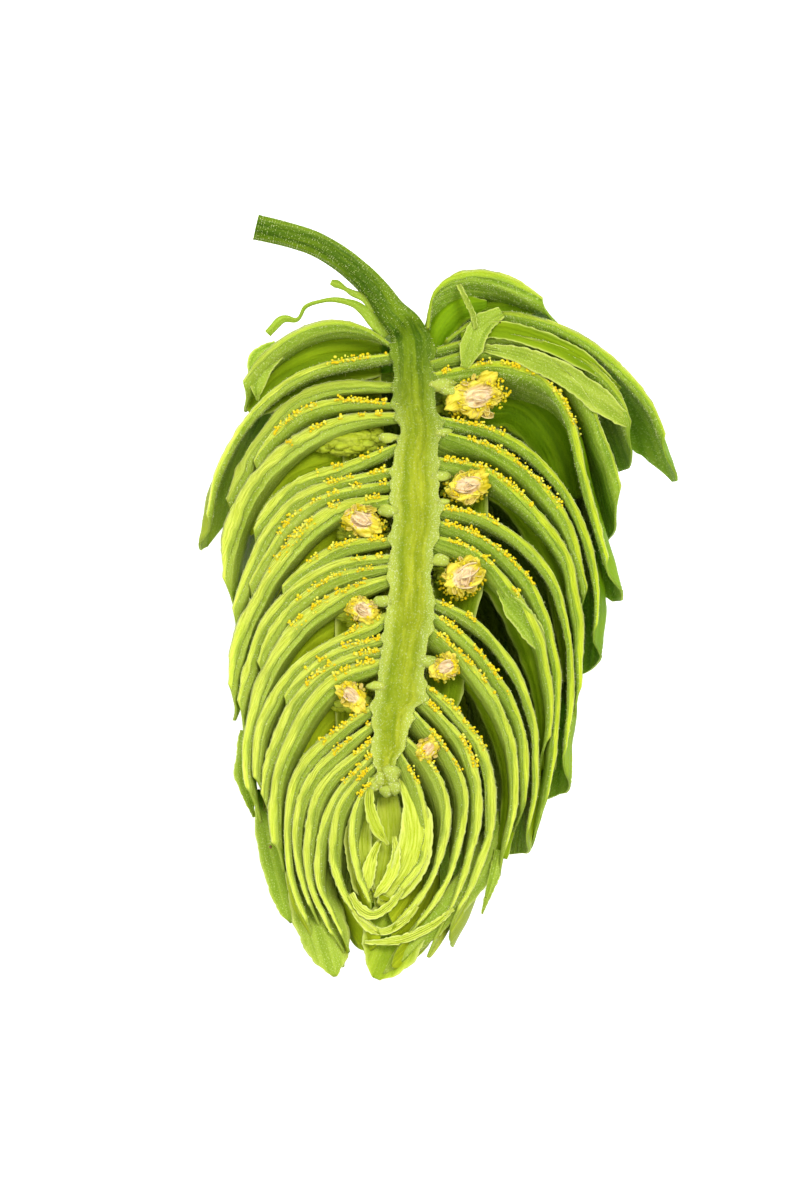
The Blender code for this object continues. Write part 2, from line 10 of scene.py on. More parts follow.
import bmesh
import bpy
import numpy as np
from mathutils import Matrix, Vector


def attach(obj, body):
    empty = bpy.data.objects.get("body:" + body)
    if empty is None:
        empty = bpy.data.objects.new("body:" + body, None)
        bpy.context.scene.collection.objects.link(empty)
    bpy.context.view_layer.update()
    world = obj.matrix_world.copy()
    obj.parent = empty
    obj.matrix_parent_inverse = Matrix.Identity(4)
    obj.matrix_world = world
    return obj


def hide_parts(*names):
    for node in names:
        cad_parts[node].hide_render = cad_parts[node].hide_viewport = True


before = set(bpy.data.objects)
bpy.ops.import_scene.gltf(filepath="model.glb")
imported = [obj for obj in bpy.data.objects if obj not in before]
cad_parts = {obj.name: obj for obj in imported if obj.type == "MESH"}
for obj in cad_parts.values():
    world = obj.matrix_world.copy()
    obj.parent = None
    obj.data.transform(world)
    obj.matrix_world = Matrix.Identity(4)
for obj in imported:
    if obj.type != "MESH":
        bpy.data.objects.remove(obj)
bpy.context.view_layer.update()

MM = 0.001
LEFT, RIGHT = -1, 1
UP = np.array([0.0, 0.0, 1.0])
STEPS = 60  # fine steps along a curve of the frame

# The frame's own dimensions, which the visual shells follow
CUT_HEIGHT = 8.93
PRESS_DEPTH = 9.3
PRESS_SHARPNESS = 40
MIDDLE = (1.05, 0.0)
EDGE_SPACING = 0.42
EASING, EASING_ROUNDS = 0.25, 60
CLAW_SHARE, WIDEST_AT, TIP_FALL = 0.78, 0.45, 0.93  # a bract's width at its base, and where it is widest
BLEND_ANGLE = 50.0
TOP_LEVEL, BOTTOM_LEVEL = 14.0, -7.6
EVENNESS = 0.5
WIDE_FROM = 50

# The fine shells
THIN = 0.13  # thickness of a bract away from its cut edge
MARGIN = 0.06  # and at its free margin
LIP_DEPTH = 0.35  # how far below the cut a thick edge thins out
BAND_GAP = 0.12  # dark gap left between two cut edges that run close together
LEAN_DEPTH = 1.3  # depth at which the shells lean furthest inwards
LEAN_INWARDS, LEAN_DOWN = 0.45, 0.75
ROOT = 0.45  # how far the base of a bract runs into the strig
LIP_ANGLE = 60.0  # degrees round the strig beyond which a bract has no cut lip
AT_CUT = 0.9  # share of the lip above which a point belongs to the cut itself
ROWS, COLUMNS, WIDE_COLUMNS = 78, 26, 34

# Small things. Densities are per millimetre of cut edge.
GLAND_DENSITY = 70
GLAND_RADIUS, GLAND_SPREAD = 0.052, 0.038
SEED_GLAND_RADIUS, SEED_GLAND_SPREAD = 0.055, 0.045
SEED_GLANDS = 300  # per millimetre of a seed's half-width
SPECK_RADIUS = 0.05
RIM_HAIR_DENSITY, DOWN_DENSITY = 11, 110
HAIR_LENGTH, STEM_HAIR_LENGTH, HAIR_RADIUS = 0.09, 0.085, 0.011
STEM_HAIRS = 5200  # tried over the stem and strig

# Centreline of the stem and strig and its radius: (x, y, radius)
STRIG = [
    (-7.8, 18.65, 0.62), (-6.3, 18.3, 0.60), (-4.9, 17.85, 0.60), (-3.6, 17.1, 0.60), (-2.55, 16.25, 0.62),
    (-1.65, 15.3, 0.65), (-1.0, 14.4, 0.72), (-0.3, 13.6, 0.85), (0.1, 12.5, 1.00), (0.2, 11.0, 1.02),
    (0.25, 9.0, 1.00), (0.25, 7.0, 1.10), (0.2, 5.0, 1.15), (0.1, 3.0, 1.15), (-0.05, 1.0, 1.12),
    (-0.15, -0.5, 1.15), (-0.35, -2.0, 1.08), (-0.5, -3.5, 1.10), (-0.7, -5.0, 1.10), (-1.0, -6.3, 0.85),
    (-1.2, -7.4, 0.62), (-1.35, -8.3, 0.50), (-1.4, -9.3, 0.36),
]  # fmt: skip
TIP_KNOBS_BELOW = -8.0
WHOLE_STEM_ABOVE = 14.6
CUT_BELOW = 13.0

TENDRIL = [(-1.25, 13.2, -0.2), (-2.0, 14.05, -0.1), (-2.45, 14.5, 0.0), (-3.1, 14.85, 0.1),
           (-4.1, 15.0, 0.1), (-5.25, 14.7, 0.0),
           (-5.75, 14.05, -0.1), (-6.5, 14.0, 0.0), (-7.2, 13.3, 0.1)]  # fmt: skip
STUB = [(-1.8, 14.5, -0.1), (-2.3, 15.05, 0.05), (-2.88, 15.3, 0.1), (-3.3, 15.55, 0.15), (-4.05, 15.9, 0.1)]
TENDRIL_WIDTHS = [(0, 0.35), (0.15, 0.34), (0.3, 0.2), (0.5, 0.11), (0.75, 0.10), (0.9, 0.22), (1, 0.2)]
STUB_WIDTHS = [(0, 0.3), (0.4, 0.22), (0.7, 0.12), (0.9, 0.22), (1, 0.14)]
# Swollen knobs of tissue at the strig's tip and beside it: (x, y, size)
KNOBS = [(-1.05, -8.75, 0.50), (-1.62, -8.95, 0.42), (-0.85, -9.35, 0.38), (-1.3, -9.5, 0.34),
         (-1.85, -9.3, 0.26),
         (1.45, 10.75, 0.55), (1.9, 10.5, 0.42), (1.4, 6.2, 0.45), (1.5, 8.4, 0.38), (1.35, 2.0, 0.45),
         (1.5, 4.9, 0.3),
         (-1.15, 8.1, 0.4), (-1.2, 4.5, 0.45), (-1.4, -0.1, 0.4), (-1.75, -4.3, 0.4), (0.75, -3.1, 0.4)]

# Half outline of the nested family: distance from the strig's axis and height, from the strig to the tip
FAMILY = [
    [(0.9, 14.6), (2.6, 15.6), (4.6, 15.3), (6.4, 14.1), (7.8, 12.3), (8.7, 10.1), (9.3, 7.6),
     (9.6, 4.8), (9.7, 2.0)],
    [(1.2, 12.6), (3.2, 13.2), (5.2, 12.8), (7.0, 11.5), (8.4, 9.4), (9.3, 7.0), (9.8, 4.4), (9.9, 1.6),
     (9.8, -1.2)],
    [(1.2, 9.0), (3.2, 9.1), (5.1, 8.4), (6.9, 6.9), (8.2, 4.7), (9.1, 2.2), (9.5, -0.6), (9.5, -3.6),
     (9.2, -6.4)],
    [(1.2, 5.0), (3.1, 4.8), (5.0, 3.9), (6.6, 2.4), (7.9, 0.2), (8.7, -2.4), (9.0, -5.2), (8.8, -8.0),
     (8.2, -10.8)],
    [(1.2, 1.0), (3.0, 0.5), (4.7, -0.6), (6.2, -2.3), (7.4, -4.6), (8.0, -7.2), (8.1, -9.9), (7.6, -12.4),
     (6.6, -14.8)],
    [(1.2, -3.0), (2.8, -3.9), (4.3, -5.3), (5.6, -7.3), (6.5, -9.7), (6.7, -12.3), (6.1, -14.7),
     (4.8, -17.0),
     (3.2, -18.8)],
    [(0.8, -6.6), (2.2, -7.9), (3.4, -9.6), (4.2, -11.7), (4.4, -13.9), (3.8, -16.0), (2.7, -17.7),
     (1.3, -19.0),
     (0.0, -20.0)],
    [(0.5, -9.6), (1.0, -10.7), (1.5, -12.0), (1.7, -13.5), (1.5, -15.0), (1.1, -16.3), (0.7, -17.4),
     (0.4, -18.4),
     (0.2, -19.2)],
]  # fmt: skip

# Reach of the round back below the cut plane, along the cone: (y, depth)
BACK = [(-19.0, 0.6), (-16.0, 4.9), (-12.0, 7.2), (-8.0, 8.8), (-4.0, 9.2), (0.0, 9.5), (4.0, 9.55),
        (7.0, 9.5), (11.0, 8.2), (13.5, 6.0), (16.0, 3.0)]  # fmt: skip

# Cut bracts: name, middle and half-width in degrees round the strig, width of the band that the knife left,
# how far the outer face swells out below the cut, length that carries glands, points of the cut edge
CUT_BRACTS = [
    ("left_bract_01", 12, 32, 0.28, 0.3, 0.0,
     [(-1.2, 12.75), (-2.8, 13.75), (-4.7, 13.8), (-6.4, 13.0), (-7.8, 12.0), (-8.5, 10.9)]),
    ("left_bract_02", 12, 34, 0.28, 0.9, 3.0,
     [(-1.1, 12.2), (-3.0, 12.0), (-5.2, 11.55), (-7.3, 10.4), (-8.9, 8.4), (-9.9, 6.2), (-10.3, 4.2)]),
    ("left_bract_03", 32, 55, 0.55, 0.0, 0.0,
     [(-1.0, 10.6), (-3.0, 10.8), (-4.6, 10.65), (-6.0, 10.0), (-7.4, 8.7), (-8.5, 6.9), (-9.2, 5.0)]),
    ("left_bracteole_04", 14, 31, 0.32, 0.0, 6.0,
     [(-1.1, 9.7), (-3.0, 9.95), (-4.3, 9.85), (-6.0, 9.2), (-7.2, 8.1), (-8.0, 6.9)]),
    ("left_bract_05", 12, 34, 0.65, 0.0, 5.0,
     [(-1.2, 9.1), (-2.8, 9.25), (-4.5, 8.75), (-6.3, 7.7), (-7.8, 6.3), (-8.8, 4.7), (-9.4, 2.9),
      (-9.4, 1.0)]),
    ("left_bracteole_06", 14, 30, 0.45, 0.4, 3.5,
     [(-1.2, 7.5), (-2.4, 7.1), (-4.0, 6.6), (-5.6, 6.0), (-7.0, 5.0), (-8.0, 3.5)]),
    ("left_bract_07", 32, 55, 0.42, 0.0, 3.0,
     [(-1.2, 6.4), (-3.0, 6.2), (-5.0, 5.6), (-6.5, 4.6), (-7.6, 3.1), (-8.5, 1.2), (-8.95, -0.6)]),
    ("left_bracteole_08", 14, 31, 0.30, 0.0, 6.0,
     [(-1.2, 5.8), (-3.0, 5.65), (-4.8, 5.0), (-6.3, 3.9), (-7.3, 2.5), (-8.1, 0.8)]),
    ("left_bract_09", 12, 34, 0.60, 0.0, 7.0,
     [(-1.2, 5.1), (-3.0, 5.0), (-4.5, 4.2), (-6.0, 2.9), (-7.2, 1.3), (-8.2, -0.8), (-8.9, -2.6),
      (-9.1, -4.3)]),
    ("left_bracteole_10", 14, 28, 0.35, 0.0, 4.0,
     [(-1.2, 3.1), (-2.6, 2.9), (-4.1, 2.4), (-5.4, 1.6), (-6.5, 0.6)]),
    ("left_bract_11", 32, 55, 0.62, 0.0, 1.5,
     [(-1.3, 2.2), (-3.2, 1.95), (-5.0, 1.3), (-6.3, 0.3), (-7.3, -1.0), (-8.1, -2.9), (-8.6, -5.2)]),
    ("left_bracteole_12", 14, 31, 0.34, 0.0, 4.5,
     [(-1.3, 1.7), (-3.4, 1.35), (-4.8, 0.7), (-6.0, -0.3), (-7.0, -1.6), (-7.7, -3.2)]),
    ("left_bract_13", 12, 34, 0.60, 0.0, 5.0,
     [(-1.3, 1.1), (-3.2, 0.6), (-5.0, -0.6), (-6.3, -1.9), (-7.2, -3.4), (-8.0, -5.6), (-8.4, -7.6),
      (-8.1, -9.3)]),
    ("left_bract_14", 32, 55, 0.85, 0.0, 2.0,
     [(-1.3, -0.9), (-2.8, -1.6), (-4.5, -2.5), (-6.0, -3.6), (-7.1, -5.0), (-7.7, -6.9), (-7.9, -8.9)]),
    ("left_bracteole_15", 14, 28, 0.32, 0.0, 4.0,
     [(-1.4, -1.9), (-3.0, -2.3), (-4.3, -2.95), (-5.4, -3.8), (-6.3, -4.9)]),
    ("left_bracteole_16", 14, 31, 0.45, 0.0, 4.0,
     [(-1.5, -2.5), (-3.4, -2.95), (-4.7, -3.8), (-5.8, -4.9), (-6.6, -6.3), (-7.2, -8.0), (-7.4, -9.6)]),
    ("left_bract_17", 12, 34, 0.80, 0.0, 2.5,
     [(-1.6, -3.1), (-3.4, -3.7), (-4.9, -4.9), (-5.9, -6.4), (-6.6, -8.2), (-7.0, -10.2), (-6.9, -12.0)]),
    ("left_bract_18", 32, 55, 0.55, 0.5, 3.0,
     [(-1.8, -5.3), (-3.4, -6.3), (-4.7, -7.2), (-5.7, -8.3), (-6.2, -9.8), (-6.4, -11.4), (-6.2, -13.2),
      (-5.8, -14.6), (-5.3, -15.9)]),
    ("left_bracteole_19", 16, 30, 0.45, 0.0, 2.5,
     [(-1.8, -6.1), (-3.4, -7.2), (-4.7, -8.1), (-5.5, -9.5), (-5.9, -11.0), (-5.95, -12.7), (-5.6, -14.1),
      (-5.2, -15.0)]),
    ("left_bract_20", 32, 55, 0.50, 0.0, 2.0,
     [(-1.8, -6.9), (-3.1, -7.9), (-4.3, -8.7), (-5.0, -10.1), (-5.35, -12.3), (-5.2, -14.1), (-4.6, -15.4),
      (-3.9, -16.4)]),
    ("left_bracteole_21", 16, 42, 0.36, 0.0, 2.0,
     [(-1.9, -7.6), (-2.9, -8.6), (-3.8, -9.8), (-4.4, -10.9), (-4.8, -12.4), (-4.7, -14.1), (-4.4, -15.2),
      (-3.6, -16.5)]),
    ("left_bract_22", 20, 48, 0.42, 0.0, 1.0,
     [(-1.9, -8.2), (-3.1, -9.0), (-3.8, -10.5), (-4.1, -11.9), (-4.05, -13.2), (-3.6, -14.3), (-3.1, -15.1),
      (-2.5, -15.9), (-1.8, -16.5)]),
    ("left_bracteole_23", 24, 50, 0.32, 0.0, 1.0,
     [(-1.9, -8.9), (-2.6, -9.6), (-3.0, -10.6), (-3.05, -11.9), (-2.85, -13.2), (-2.5, -14.3),
      (-2.1, -15.1)]),
    ("right_bract_01", 10, 24, 0.34, 0.7, 0.0,
     [(0.9, 14.0), (1.0, 15.2), (1.9, 16.1), (3.4, 16.3), (5.2, 15.9), (6.5, 15.1)]),
    ("right_bract_02", 8, 18, 0.32, 0.9, 0.0,
     [(2.2, 13.0), (2.9, 13.9), (4.2, 14.4), (6.0, 14.2), (8.4, 13.3), (10.2, 11.8), (11.8, 10.0),
      (12.5, 8.2)]),
    ("right_bract_03", 14, 30, 0.30, 0.4, 0.0,
     [(1.4, 12.5), (3.6, 13.1), (6.0, 13.0), (8.2, 12.3), (9.6, 11.2), (10.5, 10.0), (10.9, 8.8)]),
    ("right_bract_04", 32, 55, 0.30, 0.2, 0.0,
     [(1.4, 11.9), (3.3, 12.5), (5.0, 12.6), (6.8, 12.1), (8.2, 11.0), (9.3, 9.2), (9.9, 7.2), (10.4, 5.4)]),
    ("right_bract_05", 12, 34, 0.40, 1.1, 8.0,
     [(1.4, 11.2), (3.2, 11.7), (4.8, 11.9), (6.4, 11.4), (7.6, 10.2), (8.2, 8.2), (8.7, 5.8), (9.3, 3.8),
      (9.8, 2.0)]),
    ("right_bract_06", 32, 55, 0.30, 1.0, 3.0,
     [(1.4, 9.0), (3.2, 8.7), (5.0, 8.15), (6.5, 7.3), (7.5, 6.1), (8.4, 4.4), (9.1, 2.2), (9.5, 0.2),
      (9.3, -1.4)]),
    ("right_bracteole_07", 14, 31, 0.28, 0.0, 7.0,
     [(1.4, 8.3), (3.2, 7.85), (5.0, 7.2), (6.4, 6.2), (7.5, 4.7), (8.2, 2.9), (8.7, 0.6)]),
    ("right_bract_08", 12, 34, 0.36, 0.3, 5.0,
     [(1.4, 6.9), (3.2, 6.75), (4.6, 6.1), (5.9, 4.9), (7.1, 3.7), (7.9, 2.0), (8.3, -0.2), (8.6, -2.4),
      (8.5, -4.4)]),
    ("right_bract_09", 32, 55, 0.30, 0.8, 3.0,
     [(1.4, 4.6), (3.2, 4.35), (4.7, 3.7), (6.1, 2.5), (7.1, 1.2), (7.8, -0.6), (8.1, -2.8), (8.0, -5.6),
      (7.7, -7.6)]),
    ("right_bracteole_10", 14, 30, 0.30, 0.0, 6.0,
     [(1.4, 3.9), (3.0, 3.5), (4.6, 2.5), (5.8, 1.1), (6.8, -0.5), (7.25, -2.4), (7.4, -4.6), (7.25, -7.2),
      (6.85, -9.8)]),
    ("right_bract_11", 12, 34, 0.40, 0.2, 5.0,
     [(1.4, 3.1), (3.0, 2.7), (4.1, 1.7), (5.2, 0.3), (6.2, -1.1), (6.8, -3.0), (7.0, -5.0), (6.9, -7.0)]),
    ("right_bract_12", 32, 55, 0.28, 0.7, 2.0,
     [(1.2, -0.1), (2.6, -0.5), (3.9, -1.4), (4.9, -2.8), (5.7, -4.6), (6.2, -6.8), (6.3, -9.0),
      (5.9, -11.0)]),
    ("right_bracteole_13", 14, 31, 0.30, 0.0, 5.0,
     [(1.2, -0.8), (2.5, -1.5), (3.7, -2.8), (4.7, -4.3), (5.4, -6.2), (5.7, -8.2), (5.6, -10.0)]),
    ("right_bract_14", 12, 34, 0.36, 0.2, 4.0,
     [(1.1, -1.5), (2.3, -2.3), (3.4, -3.6), (4.4, -5.2), (5.0, -7.1), (5.25, -9.1), (5.1, -10.9),
      (4.8, -12.3)]),
    ("right_bract_15", 32, 55, 0.42, 0.4, 4.0,
     [(0.7, -4.2), (2.1, -5.3), (3.1, -6.7), (3.8, -8.6), (4.1, -10.5), (4.0, -12.0), (3.6, -13.3),
      (2.8, -14.6),
      (2.1, -15.4)]),
    ("right_bracteole_16", 16, 30, 0.36, 0.0, 4.0,
     [(0.6, -4.9), (2.0, -6.3), (2.9, -8.0), (3.35, -9.6), (3.4, -11.4), (3.1, -12.9), (2.5, -14.3),
      (1.6, -15.8)]),
    ("right_bract_17", 18, 28, 0.34, 0.0, 3.0,
     [(0.4, -5.9), (1.4, -7.1), (2.2, -8.4), (2.7, -9.7), (2.8, -11.3), (2.4, -12.8), (1.8, -14.2),
      (0.9, -15.6),
      (0.1, -16.3)]),
    ("right_bracteole_18", 20, 50, 0.40, 0.0, 2.0,
     [(-0.2, -7.2), (0.8, -8.2), (1.6, -9.4), (1.9, -10.7), (1.8, -12.0), (1.35, -13.3), (0.8, -14.4),
      (0.0, -15.5), (-0.8, -16.2)]),
    ("right_bract_19", 24, 52, 0.36, 0.0, 1.0,
     [(-0.5, -8.1), (0.2, -9.2), (0.7, -10.6), (1.0, -11.6), (0.85, -12.5), (0.4, -13.4), (-0.4, -14.4),
      (-1.1, -15.2)]),
]  # fmt: skip

# Whole bracts of the back: name, level in the family, middle, half-width and length
BACK_BRACTS = [
    ("back_bract_01", 13.2, 84, 32, 12.0),
    ("back_bract_02", 10.1, 96, 36, 14.0),
    ("back_bract_03", 5.9, 84, 36, 14.0),
    ("back_bract_04", 3.7, 96, 36, 14.0),
    ("back_bract_05", 1.8, 86, 36, 14.0),
    ("back_bract_06", -1.6, 92, 36, 14.0),
    ("back_bract_07", -4.95, 88, 35, 13.5),
]

# Seeds in their papery perianths: name, x, y, half-width, half-length, turn in degrees
SEEDS = [
    ("left_seed_01", -2.5, 4.0, 0.62, 0.85, 70),
    ("left_seed_02", -2.5, -0.45, 0.50, 0.72, 60),
    ("left_seed_03", -3.0, -4.75, 0.45, 0.75, 40),
    ("right_seed_01", 3.3, 10.2, 0.80, 1.15, -65),
    ("right_seed_02", 2.8, 5.7, 0.62, 0.95, -70),
    ("right_seed_03", 2.6, 1.2, 0.70, 0.95, -45),
    ("right_seed_04", 1.7, -3.35, 0.48, 0.62, -60),
    ("right_seed_05", 0.8, -7.45, 0.40, 0.58, -40),
]

# Specks of soil: (x, y, height)
SPECKS = [(8.15, -5.3, -0.75), (6.05, -10.2, -0.75), (5.85, -9.95, -0.7), (9.45, -0.4, -0.7),
          (3.7, -14.9, -0.4),
          (-5.4, -16.4, -0.7), (-7.1, -12.4, -1.5), (-9.3, 3.2, -0.3), (4.4, 13.9, 0.1)]  # fmt: skip

# Outline of the halved strig at the cut: (y, x)
STRIG_LEFT = [(14.0, -1.55), (13.0, -0.95), (12.0, -0.9), (10.0, -0.9), (9.0, -0.7), (8.3, -0.6), (7.0, -0.9),
              (5.0, -1.0), (4.0, -0.9), (3.0, -1.0), (1.0, -1.0), (0.0, -1.2), (-1.5, -1.3), (-3.0, -1.5),
              (-4.0, -1.7), (-5.0, -1.9), (-6.5, -1.9), (-7.5, -1.8), (-8.3, -1.75),
              (-9.3, -1.6)]  # fmt: skip
STRIG_RIGHT = [(14.0, 0.2), (13.0, 0.95), (12.0, 1.0), (11.0, 1.1), (9.5, 1.2), (8.8, 1.4), (8.0, 1.3),
               (7.0, 1.2),
               (6.0, 1.3), (4.5, 1.4), (3.5, 1.35), (2.5, 1.0), (0.0, 1.0), (-0.9, 1.1), (-1.5, 0.8),
               (-3.0, 0.7),
               (-4.0, 0.6), (-5.0, 0.7), (-5.4, 0.1), (-6.5, -0.2), (-7.5, -0.4), (-8.0, -0.8),
               (-9.3, -1.1)]  # fmt: skip


# ---------------------------------------------------------------- curves, noise and the cone's frame


def smooth(t):
    t = np.clip(t, 0.0, 1.0)
    return t * t * (3.0 - 2.0 * t)


def noise(points, size, seed=0):
    """Smooth noise from -1 to 1 at points in mm, with swells of about this size."""
    place = np.asarray(points, float) / size + 37.7 * (seed + 1)
    cell = np.floor(place).astype(np.int64)
    part = smooth(place - cell)
    total = 0.0
    primes = np.array([73856093, 19349663, 83492791])[: place.shape[-1]]
    for corner in itertools.product((0, 1), repeat=place.shape[-1]):
        weight = np.prod(np.where(corner, part, 1 - part), axis=-1)
        mixed = ((cell + np.array(corner)) * primes).sum(axis=-1) & 0x7FFFFFFF
        mixed = ((mixed ^ (mixed >> 13)) * 1274126177) & 0x7FFFFFFF
        mixed = ((mixed ^ (mixed >> 11)) * 668265263) & 0x7FFFFFFF
        total = total + weight * (mixed / 0x3FFFFFFF - 1.0)
    return total


def spread(*coordinates):
    """Coordinates that broadcast to one shape, as points."""
    return np.stack(np.broadcast_arrays(*coordinates), axis=-1)


def unit(vectors):
    return vectors / np.linalg.norm(vectors, axis=-1, keepdims=True)


def heading(degrees):
    """The level directions ahead and beside for a heading in degrees from the cone's own +Y."""
    turn = math.radians(90 + degrees)
    ahead = np.array([math.cos(turn), math.sin(turn), 0.0])
    return ahead, np.array([-ahead[1], ahead[0], 0.0])


def path_frame(path):
    """The unit directions ahead along a path and across it, the second one level."""
    ahead = np.gradient(path, axis=0)
    return unit(ahead), unit(np.cross(ahead, UP))


def circle(count):
    return np.linspace(0, 2 * np.pi, count, endpoint=False)


def along(points, count=STEPS + 1):
    """A Catmull-Rom curve through the points, as count points at equal distances."""
    points = np.array(points, float)
    ends = np.vstack([2 * points[0] - points[1], points, 2 * points[-1] - points[-2]])
    t = np.linspace(0.0, 1.0, 16, endpoint=False)[:, None]
    fine = []
    for a, b, c, d in zip(ends, ends[1:], ends[2:], ends[3:]):
        fine.append(
            0.5 * (2 * b + (c - a) * t + (2 * a - 5 * b + 4 * c - d) * t**2 + (3 * b - 3 * c + d - a) * t**3)
        )
    fine = np.vstack(fine + [points[-1:]])
    run = np.concatenate([[0.0], np.cumsum(np.linalg.norm(np.diff(fine, axis=0), axis=1))])
    at = np.linspace(0.0, run[-1], count)
    return np.stack([np.interp(at, run, fine[:, k]) for k in range(points.shape[1])], axis=1)


def length_of(curve):
    return float(np.linalg.norm(np.diff(curve, axis=0), axis=1).sum())


STRIG_LINE = np.array([p for p in STRIG if p[1] < 13.0])[::-1]
FAMILY_CURVES = np.array([along(curve) for curve in FAMILY])
FAMILY_LEVELS = np.array([curve[0][1] for curve in FAMILY])


def axis_x(y):
    """The strig's axis, carried on below its tip and above its top."""
    return np.interp(y, [-19.0, *STRIG_LINE[:, 1], 14.0], [-1.55, *STRIG_LINE[:, 0], 0.15])


def strig_radius(y):
    return np.interp(y, [-10.2, -9.3, *STRIG_LINE[1:, 1], 14.0], [0.0, 0.36, *STRIG_LINE[1:, 2], 0.9])


def family_curve(level):
    """The nested curve that leaves the strig at this height, as (distance from the axis, y)."""
    k = int(np.clip(np.searchsorted(-FAMILY_LEVELS, -level) - 1, 0, len(FAMILY) - 2))
    share = (FAMILY_LEVELS[k] - level) / (FAMILY_LEVELS[k] - FAMILY_LEVELS[k + 1])
    return (1 - share) * FAMILY_CURVES[k] + share * FAMILY_CURVES[k + 1]


def spaced_edges(curves):
    """The cut edges of one side, eased apart where they run closer than the spacing."""
    curves = [curve.copy() for curve in curves]
    for _ in range(EASING_ROUNDS):
        for first, second in zip(curves, curves[1:]):
            apart = second[None] - first[:, None]
            far = np.linalg.norm(apart, axis=2)
            near = far.argmin(axis=1)
            for i in np.nonzero(far.min(axis=1) < EDGE_SPACING)[0]:
                j = near[i]
                if i == 0 and j == 0:
                    continue
                push = EASING * (EDGE_SPACING - far[i, j]) * apart[i, j] / max(far[i, j], 1e-6)
                first[i] -= push
                second[j] += push
        for curve in curves:
            curve[1:-1] += EASING * (curve[2:] + curve[:-2] - 2 * curve[1:-1])
    return curves


def half_width_share(u):
    """A bract's half-width along its length: a broad claw, widest before the middle, then a drawn-out tip."""
    u = np.clip(u, 0, 1)
    rising = CLAW_SHARE + (1 - CLAW_SHARE) * np.sin(0.5 * np.pi * np.clip(u / WIDEST_AT, 0, 1))
    falling = 1.0 - TIP_FALL * np.clip((u - WIDEST_AT) / (1 - WIDEST_AT), 0, 1) ** 2.5
    return np.where(u < WIDEST_AT, rising, falling)


def laid(points):
    """Points of the cone's own frame carried to where it lies, with the round back pressed flat below."""
    x, y, depth = points[..., 0], points[..., 1], -points[..., 2]
    reach = np.interp(y, *zip(*BACK))
    below = np.sqrt(np.maximum(reach**2 - (x - axis_x(y)) ** 2, 0.01)) / PRESS_DEPTH
    depth = np.where(depth > 0, depth * (1.0 + below**PRESS_SHARPNESS) ** (-1.0 / PRESS_SHARPNESS), depth)
    return np.stack([x - MIDDLE[0], y - MIDDLE[1], CUT_HEIGHT - depth], axis=-1)


def warped(points):
    """The gentle unevenness that all the shells share, so that neighbours stay apart."""
    swell = np.stack([noise(points, 3.6, k) for k in (1, 2, 3)], axis=-1)
    return points + swell * (0.16, 0.16, 0.07)


def leaning(points, side):
    """Points just below the cut carried inwards and towards the tip, which opens the cavities to view."""
    deep = np.maximum(-points[..., 2], 0.0) / LEAN_DEPTH
    lean = deep * np.exp(1.0 - deep)
    return points - lean[..., None] * np.array([side * LEAN_INWARDS, LEAN_DOWN, 0.0])


def paleness(points):
    """From 0, deep green at the upper right, to 1, pale yellow-green at the left and round the tip."""
    return smooth((9.5 - points[..., 0] - 0.4 * points[..., 1]) / 17.0)


# ---------------------------------------------------------------- materials


